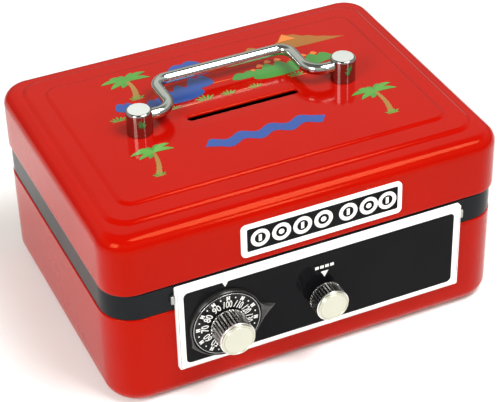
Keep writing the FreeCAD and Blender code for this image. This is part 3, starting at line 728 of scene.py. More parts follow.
    @staticmethod
    def cap(name: str, centre: tuple) -> bpy.types.Material:
        """Turned face of a knob, with rings about its own centre.

        Args:
            name: material name.
            centre: middle of the rings.

        Returns:
            The material.
        """
        return MetalFinish(name, rgb(0.60, 0.60, 0.50), rgb(0.52, 0.53, 0.45), roughness=0.28,
                           rough_gain=0.18, turning=Turning.RINGS, centre=centre, line_scale=2600.0,
                           line_depth=0.006, scratch=0.4, smudge=0.9).build()


# ------------------------------------------------------------------ pressed steel

@dataclass
class BoxOutline:
    """Plan of the box and the heights that base, band and lid share, in metres."""

    half_x: float = BASE.half[0]
    half_y: float = BASE.half[1]
    base_top: float = BASE.high[2]
    lid_bottom: float = LID.low[2]
    border: float = LID.high[2] - 1.6 * MM
    step: float = LID.high[2] - 0.7 * MM
    panel: float = LID.high[2]


def arc_rows(start: float, stop: float, count: int) -> np.ndarray:
    """Evenly spaced angles between two values in degrees, as radians."""
    return np.radians(np.linspace(start, stop, count))


@dataclass
class PressedLid:
    """Red lid: skirt with a rolled hem, rounded top edge, two soft steps and a turned-down slot."""

    outline: BoxOutline
    finishes: Finishes
    corner: float = 11.5 * MM
    edge: float = 5.5 * MM
    sheet: float = 0.9 * MM
    hem: float = 0.45 * MM
    step_crest: tuple = (71.5 * MM, 50.5 * MM, 7.0 * MM, 1.0 * MM)
    step_slope: float = 2.8 * MM
    panel_crest: tuple = (64.5 * MM, 42.0 * MM, 4.0 * MM, 1.5 * MM)
    panel_slope: float = 2.2 * MM
    slot_half: float = 23.0 * MM
    slot_width: float = 3.0 * MM
    slot_roll: float = 0.7 * MM
    slope_rows: int = 16

    def _slope(self, crest: tuple, slope: float, low: float, high: float, inset: float) -> np.ndarray:
        """Rows of one soft step: the outline closes in evenly while the height follows an S curve.

        Args:
            crest: half x, half y, corner radius and centre y at the top of the step.
            slope: how far the foot of the step stands outside its top.
            low: height of the foot.
            high: height of the top.
            inset: depth below the sheet's outer face.

        Returns:
            Ring rows.
        """
        t = np.linspace(0.0, 1.0, self.slope_rows)
        grow = slope * (1 - t)
        steep = np.clip((t - 0.06) / 0.88, 0.0, 1.0)
        half_x, half_y, radius, centre = crest
        rows = [half_x + grow - inset / 2, half_y + grow - inset / 2, radius + grow,
                np.full_like(t, centre), low + (high - low) * smooth_step(steep) - inset]
        return np.stack(rows, axis=1)

    def _side(self, inset: float) -> np.ndarray:
        """Rows of the skirt and the rounded edge: a straight rise, then a quarter arc.

        Args:
            inset: depth below the sheet's outer face.

        Returns:
            Ring rows.
        """
        o = self.outline
        edge = self.edge - inset
        angle = arc_rows(0, 90, 16)
        pull = inset + edge * (1 - np.cos(angle))
        arc = np.stack([o.half_x - pull, o.half_y - pull, self.corner - pull, 0 * angle,
                        o.border - self.edge + edge * np.sin(angle)], axis=1)
        rise = np.linspace(0.06, 0.92, 5)
        low = o.lid_bottom + self.hem
        straight_z = low + (o.border - self.edge - low) * rise
        straight = np.stack([0 * rise + o.half_x - inset, 0 * rise + o.half_y - inset,
                             0 * rise + self.corner - inset, 0 * rise, straight_z], axis=1)
        return np.concatenate([straight, arc])

    def _face(self, inset: float) -> np.ndarray:
        """Rows of the border, both steps and the flat field that closes in on the slot.

        Args:
            inset: depth below the sheet's outer face.

        Returns:
            Ring rows.
        """
        o = self.outline
        outer = self._slope(self.step_crest, self.step_slope, o.border, o.step, inset)
        inner = self._slope(self.panel_crest, self.panel_slope, o.step, o.panel, inset)
        t = np.linspace(0.0, 1.0, 9)[1:-1]
        half_x, half_y, radius, centre = self.panel_crest
        reach = self.slot_half + self.slot_roll * 1.6
        field_rows = np.stack([half_x + (reach - half_x) * t,
                               half_y + (self.slot_width / 2 + self.slot_roll * 1.6 - half_y) * t,
                               radius + (self.slot_width / 2 + self.slot_roll * 1.5 - radius) * t,
                               centre * (1 - t), 0 * t + o.panel - inset], axis=1)
        return np.concatenate([outer, inner, field_rows])

    def _slot(self) -> np.ndarray:
        """Rows of the slot: a quarter roll down, then the wall.

        Returns:
            Ring rows.
        """
        angle = arc_rows(0, 90, 6)
        half = self.slot_width / 2
        out = self.slot_roll * (1 - np.sin(angle))
        drop = self.slot_roll * (1 - np.cos(angle))
        roll = np.stack([self.slot_half + out, half + out, half + out - 1e-5, 0 * angle,
                         self.outline.panel - drop], axis=1)
        wall = roll[-1:].copy()
        wall[:, 4] = self.outline.panel - self.sheet
        return np.concatenate([roll, wall])

    def _hem(self) -> np.ndarray:
        """Rows of the rolled lower edge: a half circle from the inner side to the outer side.

        Returns:
            Ring rows.
        """
        angle = arc_rows(180, 360, 9)
        pull = self.hem * (1 + np.cos(angle)) * -1 + self.sheet
        o = self.outline
        return np.stack([o.half_x - pull, o.half_y - pull, self.corner - pull, 0 * angle,
                         o.lid_bottom + self.hem + self.hem * np.sin(angle)], axis=1)

    def build(self) -> None:
        """Builds the lid as one closed sheet from hem to slot and back."""
        outside = np.concatenate([self._side(0.0), self._face(0.0)])
        inside = np.concatenate([self._side(self.sheet), self._face(self.sheet)])[::-1]
        rings = np.concatenate([self._hem(), outside, self._slot(), inside])
        skin = skin_from_grid(box_rings(rings), wrap_rows=True)
        make_object("lid_pressing", skin, self.finishes.red, "lid", ("lid_shell",))


@dataclass
class PressedBase:
    """Red tray: rolled top edge, straight sides and a soft bottom edge."""

    outline: BoxOutline
    finishes: Finishes
    corner: float = 13.5 * MM
    edge: float = 6.0 * MM
    sheet: float = 1.0 * MM

    def _wall(self, inset: float) -> np.ndarray:
        """Rows from the middle of the floor out and up to the top.

        Args:
            inset: depth inside the sheet's outer face.

        Returns:
            Ring rows.
        """
        o = self.outline
        edge = self.edge - inset
        shrink = np.linspace(0.03, 0.97, 8)
        floor_x = o.half_x - self.edge
        floor_y = o.half_y - self.edge
        floor_rows = np.stack([floor_x * shrink, floor_y * shrink, (self.corner - self.edge) * shrink,
                               0 * shrink, 0 * shrink + inset], axis=1)
        angle = arc_rows(0, 90, 14)
        pull = self.edge - edge * np.sin(angle)
        arc = np.stack([o.half_x - pull, o.half_y - pull, self.corner - pull, 0 * angle,
                        self.edge - edge * np.cos(angle)], axis=1)
        rise = np.linspace(0.1, 0.98, 6)
        top = o.base_top - self.sheet / 2
        sides = np.stack([0 * rise + o.half_x - inset, 0 * rise + o.half_y - inset,
                          0 * rise + self.corner - inset, 0 * rise,
                          self.edge + (top - self.edge) * rise], axis=1)
        return np.concatenate([floor_rows, arc, sides])

    def build(self) -> None:
        """Builds the tray as one closed sheet: outside up, round the hem, inside down."""
        o = self.outline
        angle = arc_rows(0, 180, 9)
        half = self.sheet / 2
        pull = half * (1 - np.cos(angle))
        hem = np.stack([o.half_x - pull, o.half_y - pull, self.corner - pull, 0 * angle,
                        o.base_top - half + half * np.sin(angle)], axis=1)
        rings = np.concatenate([self._wall(0.0), hem, self._wall(self.sheet)[::-1]])
        skin = skin_from_grid(box_rings(rings), first=Cap.FLAT, last=Cap.FLAT)
        make_object("base_pressing", skin, self.finishes.red, "base", ("base_shell",))


# ------------------------------------------------------------------ handle

@dataclass
class WireHandle:
    """Two chrome posts and the bent wire between them."""

    finishes: Finishes
    deck: float = POST.low[2]
    post_top: float = POST.high[2]
    post_x: float = POST.middle[0]
    post_r: float = POST.half[0]
    wire_r: float = 2.25 * MM
    axis_z: float = BAIL.middle[2]
    leg_x: float = 28.5 * MM
    reach: float = BAIL.high[1] - 2.25 * MM
    inner_bend: float = 7.0 * MM
    outer_bend: float = 5.5 * MM
    end_x: float = BAIL.high[0]
    shoulder: float = 0.9 * MM
    dome: float = 0.15 * MM
    plating: float = 0.06 * MM

    def _half_path(self) -> np.ndarray:
        """Right half of the wire's middle line: straight end, quarter bend, leg, quarter bend, half grip.

        Returns:
            Points in X and Y, from the post to the middle of the grip.
        """
        first = arc_rows(-90, -180, 15)
        second = arc_rows(0, 90, 15)
        knee_x = self.leg_x + self.inner_bend
        end = np.stack([np.linspace(self.end_x, knee_x, 4), np.zeros(4)], axis=1)
        bend_in = np.stack([knee_x + self.inner_bend * np.cos(first),
                            self.inner_bend * (1 + np.sin(first))], axis=1)
        elbow_y = self.reach - self.outer_bend
        elbow_x = self.leg_x - self.outer_bend
        bend_out = np.stack([elbow_x + self.outer_bend * np.cos(second),
                             elbow_y + self.outer_bend * np.sin(second)], axis=1)
        grip = np.stack([np.linspace(elbow_x, 0, 12), np.full(12, self.reach)], axis=1)
        leg = np.stack([np.full(5, self.leg_x), np.linspace(self.inner_bend, elbow_y, 7)[1:-1]], axis=1)
        return np.concatenate([end[:-1], bend_in, leg, bend_out, grip[1:]])

    def build_wire(self) -> None:
        """Builds the wire handle: the half path, mirrored, with a circle carried along it."""
        half = self._half_path()
        mirrored = half[::-1][1:] * np.array([-1.0, 1.0])
        flat = np.concatenate([half, mirrored])
        path = np.column_stack([flat, np.full(len(flat), self.axis_z)])
        up = np.tile([0.0, 0.0, 1.0], (len(path), 1))
        skin = tube(path, up, self.wire_r, sides=36)
        make_object("handle_wire", skin, self.finishes.chrome, "handle", ("handle_bail",))

    def build_posts(self) -> None:
        """Builds both posts: a turned stem, a rounded shoulder, and a domed top with a light matt face; the
        darker stem chrome is painted shade and the light top face a painted highlight.
        """
        top = self.post_top
        angle = arc_rows(0, 80, 8)
        arc_r = self.post_r - self.shoulder * (1 - np.cos(angle))
        arc_z = top - self.shoulder - self.dome + self.shoulder * np.sin(angle)
        dome_r = np.linspace(0.85, 0.02, 7) * self.post_r
        dome_z = top - self.plating - self.dome * (dome_r / self.post_r) ** 2
        foot_r = np.array([0.02, 0.9, 1.0, 1.0, 1.0]) * self.post_r
        foot_z = self.deck + np.array([0.0, 0.0, 0.15, 3.0, 6.0]) * MM
        stem = np.column_stack([np.concatenate([foot_r, arc_r, dome_r]),
                                np.concatenate([foot_z, arc_z, dome_z])])
        share = np.array([1.0, 0.99, 0.97, 0.9, 0.8, 0.65, 0.5, 0.35, 0.2, 0.01])
        face_z = top - self.plating / 3 - 0.07 * MM * share ** 2
        face_z[0] = top - 3 * self.plating
        face = np.column_stack([dome_r[0] * share, face_z])
        for x, label in ((-self.post_x, "left"), (self.post_x, "right")):
            node = f"handle_post_{label}"
            make_object(f"post_{label}", lathe(stem, (x, 0.0), Axis.UP, sides=72), self.finishes.shaded_post_chrome,
                        "lid", (node,), sharp_angle=50.0)
            make_object(f"post_top_{label}", lathe(face, (x, 0.0), Axis.UP, sides=72), self.finishes.lit_post_face,
                        "lid", ())

    def build(self) -> None:
        """Builds the posts and the wire."""
        self.build_posts()
        self.build_wire()


# ------------------------------------------------------------------ knobs, dial and panel

@dataclass
class KnurledKnob:
    """Turned knob with straight ribs round its side and a bevelled flat cap."""

    name: str
    centre: tuple
    radius: float
    front: float
    back: float
    cap_front: float
    body: str
    nodes: tuple
    ribs: int = 32
    rib_depth: float = 0.5 * MM
    neck: float = 0.0

    @classmethod
    def around(cls, name: str, body: str, nodes: tuple, **changes: float) -> "KnurledKnob":
        """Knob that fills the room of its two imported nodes.

        Args:
            name: start of the pieces' names.
            body: body it moves with.
            nodes: the knob's node and its cap's node.
            changes: fields that differ from the boxes.

        Returns:
            The knob.
        """
        side, cap = (NodeBox.of(node) for node in nodes)
        sizes = {"centre": (side.middle[0], side.middle[2]), "radius": side.half[0],
                 "front": side.low[1], "back": side.high[1], "cap_front": cap.low[1]}
        return cls(name=name, body=body, nodes=nodes, **{**sizes, **changes})

    def _grip(self) -> tuple:
        """Ribbed side: the radius drops by a flat-bottomed notch between ribs, and ends are plain.

        Returns:
            The skin and a mask that is 1 at the bottom of each notch.
        """
        notch = np.array([0.0, 0.0, 0.0, 0.0, 1.0, 1.0, 1.0])
        wave = np.tile(notch, self.ribs)
        turn = (np.arange(len(wave)) / len(wave)) * 2 * math.pi
        along = np.array([0.0, 0.0, 0.03, 0.08, 0.10, 0.35, 0.65, 0.95, 0.97, 1.0])
        cut = np.array([0.0, 0.0, 0.0, 0.0, 1.0, 1.0, 1.0, 1.0, 0.0, 0.0])
        rim = np.array([0.6, 0.25, 0.0, 0.0, 0.0, 0.0, 0.0, 0.0, 0.0, 0.25]) * MM
        depth = cut[:, None] * wave[None, :]
        radius = self.radius - self.rib_depth * depth - rim[:, None]
        y = np.broadcast_to((self.front + (self.back - self.front) * along)[:, None], radius.shape)
        grid = np.stack([self.centre[0] + radius * np.cos(turn), y,
                         self.centre[1] + radius * np.sin(turn)], axis=-1)
        return skin_from_grid(grid, first=Cap.FLAT, last=Cap.FLAT), depth.reshape(-1)

    def _cap(self) -> Surface:
        """Turned cap: bevelled edge, a fine groove just inside it and a faintly dished middle.

        Returns:
            The skin.
        """
        cap_r = self.radius - 0.35 * MM
        angle = arc_rows(0, 85, 6)
        bevel = 0.35 * MM
        edge_r = cap_r - bevel * (1 - np.cos(angle))
        edge_y = self.cap_front + bevel * (1 - np.sin(angle))
        groove_r = np.array([0.90, 0.885, 0.865, 0.85]) * cap_r
        groove_y = self.cap_front + np.array([0.0, 0.18, 0.18, 0.02]) * MM
        dish_r = np.linspace(0.8, 0.02, 8) * cap_r
        dish_y = self.cap_front + 0.10 * MM * (1 - (dish_r / cap_r) ** 2)
        profile = np.column_stack([np.concatenate([[cap_r], edge_r, groove_r, dish_r]),
                                   np.concatenate([[self.front + 0.02 * MM], edge_y, groove_y, dish_y])])
        return lathe(profile, self.centre, Axis.DEPTH, sides=96)

    def build(self, finishes: Finishes) -> None:
        """Builds the ribbed side, a neck where there is one, and the cap.

        Args:
            finishes: the object's finishes.
        """
        grip, groove = self._grip()
        pieces = [grip]
        if self.neck:
            neck_r = self.radius - 1.2 * MM
            profile = np.array([[neck_r, self.back - 0.2 * MM], [neck_r, self.neck]])
            pieces.append(lathe(profile, self.centre, Axis.DEPTH, sides=48))
            # The neck gets 0.6 of the groove mask: painted shade in the gap between knob and dial.
            groove = np.concatenate([groove, np.full(2 * 48, 0.6)])
        make_object(self.name + "_grip", merged(pieces), finishes.knurl, self.body, (self.nodes[0],),
                    sharp_angle=25.0, groove=groove)
        centre = (self.centre[0], self.front, self.centre[1])
        material = finishes.cap(self.name + "_cap_face", centre)
        make_object(self.name + "_cap_disc", self._cap(), material, self.body, (self.nodes[1],),
                    sharp_angle=35.0)


class TextShapes:
    """Generic numerals as flat closed shapes."""

    @staticmethod
    def numeral(words: str, height: float, thickness: float, narrow: float = 0.72) -> Surface:
        """One numeral, centred on the origin in X and Y, its face towards +Z.

        Args:
            words: digits to draw.
            height: digit height.
            thickness: ink thickness.
            narrow: width as a share of the plain font's width.

        Returns:
            The skin.
        """
        curve = bpy.data.curves.new("numeral", "FONT")
        curve.body = words
        curve.size = height / 0.7
        curve.extrude = thickness / 2
        curve.offset = height * 0.012
        curve.resolution_u = 4
        curve.align_x = "CENTER"
        holder = bpy.data.objects.new("numeral", curve)
        mesh = bpy.data.meshes.new_from_object(holder)
        points = np.empty(len(mesh.vertices) * 3)
        mesh.vertices.foreach_get("co", points)
        points = points.reshape(-1, 3)
        faces = [list(polygon.vertices) for polygon in mesh.polygons]
        bpy.data.objects.remove(holder)
        bpy.data.curves.remove(curve)
        bpy.data.meshes.remove(mesh)
        middle = (points.min(axis=0) + points.max(axis=0)) / 2
        points = (points - middle) * np.array([narrow, 1.0, 1.0])
        return Surface(points, faces)


def slab(outline: np.ndarray, low: float, high: float) -> Surface:
    """Thin plate: a closed outline in X and Y raised from a low to a high Z, with flat ends."""
    rows = [np.column_stack([outline, np.full(len(outline), z)]) for z in (low, high)]
    return skin_from_grid(np.stack(rows), first=Cap.FLAT, last=Cap.FLAT)


def disc(centre: tuple, radius: float, low: float, high: float, sides: int = 24) -> Surface:
    """Round thin plate.

    Args:
        centre: middle in X and Y.
        radius: radius.
        low: lower face's Z.
        high: upper face's Z.
        sides: points round.

    Returns:
        The skin.
    """
    turn = np.linspace(0, 2 * math.pi, sides, endpoint=False)
    outline = np.column_stack([centre[0] + radius * np.cos(turn), centre[1] + radius * np.sin(turn)])
    return slab(outline, low, high)


def ring(centre: tuple, outer: float, inner: float, low: float, high: float, sides: int = 40) -> Surface:
    """Flat washer: a rectangle carried round a circle."""
    profile = np.array([[inner, low], [outer, low], [outer, high], [inner, high]])
    return lathe(profile, centre, Axis.UP, sides=sides, closed=True)


def bar(centre: tuple, half_x: float, half_y: float, low: float, high: float) -> Surface:
    """Thin plate with square corners.

    Args:
        centre: middle in X and Y.
        half_x: half length along X.
        half_y: half length along Y.
        low: lower face's Z.
        high: upper face's Z.

    Returns:
        The skin.
    """
    x, y = centre
    outline = np.array([[x - half_x, y - half_y], [x + half_x, y - half_y],
                        [x + half_x, y + half_y], [x - half_x, y + half_y]])
    return slab(outline, low, high)


def turned_about(angle: float, radius: float) -> np.ndarray:
    """Transform that sets a flat mark at a radius on a disc, its top outward, angle from the top."""
    swing = Matrix.Rotation(-angle, 4, "Z")
    return np.array(swing @ Matrix.Translation((0.0, radius, 0.0)))


def facing_front(x: float, y: float, z: float) -> np.ndarray:
    """Transform from a flat drawing to an upright one on the front: drawing +Z looks along -Y."""
    turn = Matrix(((1, 0, 0, x), (0, 0, -1, y), (0, 1, 0, z), (0, 0, 0, 1)))
    return np.array(turn)


@dataclass
class DialGroup:
    """Black disc with numbers, its raised ring with a beak, and the knob."""

    finishes: Finishes
    x: float = DIAL.middle[0]
    z: float = DIAL.middle[2]
    disc_r: float = 13.15 * MM
    disc_front: float = DIAL.low[1]
    disc_back: float = DIAL.high[1]
    face_sink: float = 0.12 * MM
    bead: float = 0.13 * MM
    ring_r: float = DIAL_RING.half[2]
    ring_inner: float = 13.45 * MM
    ring_front: float = DIAL_RING.low[1]
    ring_back: float = DIAL_RING.high[1]
    beak: float = 6.2 * MM
    counter_beak: float = 1.5 * MM
    knob_gap: float = 0.7 * MM
    numbers_r: float = 8.75 * MM
    bars_r: float = 11.45 * MM
    divisions: int = 12
    top_division: int = 8
    first_number: int = 20
    turn_offset: float = math.radians(4.0)
    ink: float = 0.05 * MM

    def build_highlight_bead(self) -> None:
        """Builds a painted highlight: a bright steel bead round the disc's front edge, standing in for the
        light caught on the glossy disc's rim.
        """
        turn = np.linspace(0, 2 * math.pi, 10, endpoint=False)
        profile = np.column_stack([self.disc_r + self.bead * (np.cos(turn) - 0.2),
                                   self.disc_front + self.bead * (np.sin(turn) + 0.9)])
        rim = lathe(profile, (self.x, self.z), Axis.DEPTH, sides=128, closed=True)
        make_object("dial_highlight_bead", rim, self.finishes.steel, "dial", ())

    def build_disc(self) -> None:
        """Builds the disc: flat face, tiny raised lip and rounded rim."""
        angle = arc_rows(0, 90, 7)
        lip = 0.3 * MM
        rim_r = self.disc_r - lip * (1 - np.cos(angle))
        rim_y = self.disc_front + lip * (1 - np.sin(angle))
        inner = np.array([0.62 * MM, 0.8 * MM, 4.0 * MM, 9.0 * MM, self.disc_r - 0.1 * MM])
        face_y = np.full(len(inner), self.disc_front + self.face_sink)
        face_y[0] = self.disc_front + 0.02 * MM
        profile = np.column_stack([np.concatenate([[0.1 * MM, self.disc_r], rim_r, self.disc_r - inner]),
                                   np.concatenate([[self.disc_back, self.disc_back], rim_y, face_y])])
        skin = lathe(profile, (self.x, self.z), Axis.DEPTH, sides=128)
        make_object("dial_plate", skin, self.finishes.dial_black, "dial", ("dial_disc",))

    def build_marks(self) -> None:
        """Prints numbers, double bars at each number and a dot between, all about the disc centre."""
        low, high = -self.ink, self.ink
        pair = merged([bar((-0.42 * MM, 0.0), 0.27 * MM, 0.85 * MM, low, high),
                       bar((0.42 * MM, 0.0), 0.27 * MM, 0.85 * MM, low, high),
                       bar((0.0, 0.0), 0.3 * MM, 0.22 * MM, low, high * 0.9)])
        dot = disc((0.0, 0.0), 0.3 * MM, low, high, sides=16)
        parts = []
        step = 2 * math.pi / self.divisions
        for index in range(self.divisions):
            angle = (index - self.top_division) * step + self.turn_offset
            number = str(self.first_number + 10 * index)
            narrow = 0.62 if len(number) > 2 else 0.78
            digits = TextShapes.numeral(number, 2.95 * MM, 2 * self.ink, narrow)
            parts.append(digits.placed(turned_about(angle, self.numbers_r)))
            parts.append(pair.placed(turned_about(angle, self.bars_r)))
            parts.append(dot.placed(turned_about(angle + step / 2, self.bars_r)))
        skin = merged(parts).placed(facing_front(self.x, self.disc_front + self.face_sink, self.z))
        make_object("dial_numbers", skin, self.finishes.white_ink, "dial", (),
                    sharp_angle=30.0)

    def build_ring(self) -> None:
        """Builds the ring: a rounded bead round the disc whose outline runs out to cusps.

        The outer radius is the ring radius plus each beak's reach times a falling power of the
        angle from it, which gives the hollow sides of a beak.
        """
        sides = 288
        turn = np.linspace(0, 2 * math.pi, sides, endpoint=False)
        outer = np.full(sides, self.ring_r)
        cusps = ((3.5, 0.40, 0.62, self.beak), (208.0, 0.95, 0.42, self.counter_beak))
        for middle, above, below, reach in cusps:
            away = (turn - math.radians(middle) + math.pi) % (2 * math.pi) - math.pi
            share = np.where(away > 0, away / above, -away / below)
            outer = outer + reach * np.clip(1 - share, 0, 1) ** 2.7
        t = np.linspace(0, 1, 12)
        swell = np.sin(math.pi * np.clip(t * 1.05, 0, 1)) ** 0.5
        height = self.ring_back - self.ring_front
        radius = self.ring_inner + (outer - self.ring_inner)[None, :] * t[:, None]
        extra = ((outer - self.ring_r) / self.beak)[None, :]
        lift = height * np.maximum(swell[:, None], 0.05) * (1 - 0.35 * extra * t[:, None])
        y = self.ring_back - lift
        back = np.full((1, sides), self.ring_back)
        radius = np.concatenate([radius[:1], radius, radius[-1:]])
        y = np.concatenate([back, y, back])
        grid = np.stack([self.x + radius * np.cos(turn), y, self.z + radius * np.sin(turn)], axis=-1)
        skin = skin_from_grid(grid, wrap_rows=True)
        make_object("dial_bezel", skin, self.finishes.bezel, "base", ("dial_ring",),
                    sharp_angle=60.0)

    def build(self) -> None:
        """Builds the dial's disc, marks, ring and knob."""
        self.build_highlight_bead()
        self.build_disc()
        self.build_marks()
        self.build_ring()
        knob = KnurledKnob.around("dial_turner", "dial", ("dial_knob", "dial_cap"),
                                  back=self.disc_front - self.knob_gap,
                                  neck=self.disc_front + 0.15 * MM)
        knob.build(self.finishes)


@dataclass
class LockPanel:
    """White surround, marks on the black face and the push button."""

    finishes: Finishes
    gap: float = 0.03 * MM
    ink: float = 0.05 * MM
    profile: tuple = ((0.0, 0.7, 2.3), (0.0, 0.7, 0.55), (0.03, 0.6, 0.30), (0.09, 0.5, 0.18),
                      (0.13, 0.5, 0.18), (0.14, 0.5, 1.1), (0.26, 0.5, 1.1), (0.27, 0.5, 0.1),
                      (0.33, 0.6, 0.0), (0.95, 1.9, 0.0), (0.99, 2.0, 0.04), (1.0, 2.0, 0.1),
                      (1.0, 2.0, 1.3), (1.0, 2.0, 2.3))
    index_shift: tuple = (0.5, 17.0)
    arrow_shift: tuple = (0.9, 8.6)
    bars_shift: tuple = (0.9, 11.9)
    bar_offsets: tuple = (-3.1, -1.05, 1.0, 3.05)

    def build_surround(self) -> None:
        """Builds the surround: outer lip, fine groove, flat border and the wall down to the black face.

        Each row of the profile gives the share of the way in from the outer to the inner outline,
        the corner radius and the depth behind the front, the last two in millimetres.
        """
        frame_box, face_box = PANEL_FRAME, PANEL_FACE
        outer = (frame_box.half[0], frame_box.half[2], frame_box.middle[0], frame_box.middle[2])
        inner = (face_box.half[0] + self.gap, face_box.half[2] + self.gap,
                 face_box.middle[0], face_box.middle[2])
        share, corner, depth = np.array(self.profile).T
        half_x, half_z, centre_x, centre_z = [a + (b - a) * share for a, b in zip(outer, inner)]
        flat = rounded_loops(half_x, half_z, corner * MM, centre_z, corner_steps=8, side_steps=6)
        y = np.broadcast_to((frame_box.low[1] + depth * MM)[:, None], flat.shape[:2])
        grid = np.stack([flat[..., 0] + centre_x[:, None], y, flat[..., 1]], axis=-1)
        skin = skin_from_grid(grid, wrap_rows=True)
        make_object("panel_surround", skin, self.finishes.white, "base", ("panel_frame",),
                    sharp_angle=30.0)

    @staticmethod
    def _triangle(room: NodeBox, shift: tuple, half: float, rise: float, drop: float) -> np.ndarray:
        """Outline of a triangle that points down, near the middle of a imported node.

        Args:
            room: box of the node.
            shift: steps right and up from the node's middle, in millimetres.
            half: half width, in millimetres.
            rise: height of its top edge, in millimetres.
            drop: depth of its point, in millimetres.

        Returns:
            Three points in X and Z.
        """
        corners = np.array([[0.0, -drop], [half, rise], [-half, rise]])
        return (corners + np.array(shift)) * MM + room.middle[[0, 2]]

    def build_marks(self) -> None:
        """Prints the index triangle over the dial, and the bars and the triangle over the button."""
        low, high = 0.0, self.ink
        parts = [slab(self._triangle(DIAL, self.index_shift, 1.35, 1.2, 1.3), low, high),
                 slab(self._triangle(BUTTON, self.arrow_shift, 1.55, 1.2, 1.5), low, high)]
        x, z = np.array(self.bars_shift) * MM + BUTTON.middle[[0, 2]]
        for offset in self.bar_offsets:
            parts.append(bar((x + offset * MM, z), 0.75 * MM, 0.62 * MM, low, high))
        skin = merged(parts).placed(facing_front(0.0, PANEL_FACE.low[1], 0.0))
        make_object("panel_marks", skin, self.finishes.white_ink, "base", (),
                    sharp_angle=30.0)

    def build(self) -> None:
        """Builds the surround, the printed marks and the button."""
        self.build_surround()
        self.build_marks()
        KnurledKnob.around("push_button", "button", ("push_knob", "push_cap")).build(self.finishes)


@dataclass
class LabelPlate:
    """Plain coin pattern on the lid's front plate, in place of wording."""

    finishes: Finishes
    ink: float = 0.05 * MM
    ring_r: float = 3.75 * MM
    hole_r: float = 2.2 * MM
    offsets: tuple = (-25.2, -16.8, -8.4, 0.0, 10.0, 18.4, 26.0)

    def build(self) -> None:
        """Prints seven coins: rings with a bar or a dot inside, in a row with a gap."""
        parts = []
        for index, offset in enumerate(self.offsets):
            centre = (LABEL_FACE.middle[0] + offset * MM, LABEL_FACE.middle[2])
            parts.append(ring(centre, self.ring_r, self.hole_r, 0.0, self.ink))
            if index % 2 == 0:
                parts.append(bar(centre, 0.6 * MM, 1.4 * MM, 0.0, self.ink))
            else:
                parts.append(disc(centre, 1.1 * MM, 0.0, self.ink))
        skin = merged(parts).placed(facing_front(0.0, LABEL_FACE.low[1], 0.0))
        make_object("label_coins", skin, self.finishes.white_ink, "lid", (),
                    sharp_angle=30.0)


# ------------------------------------------------------------------ printed scene on the lid

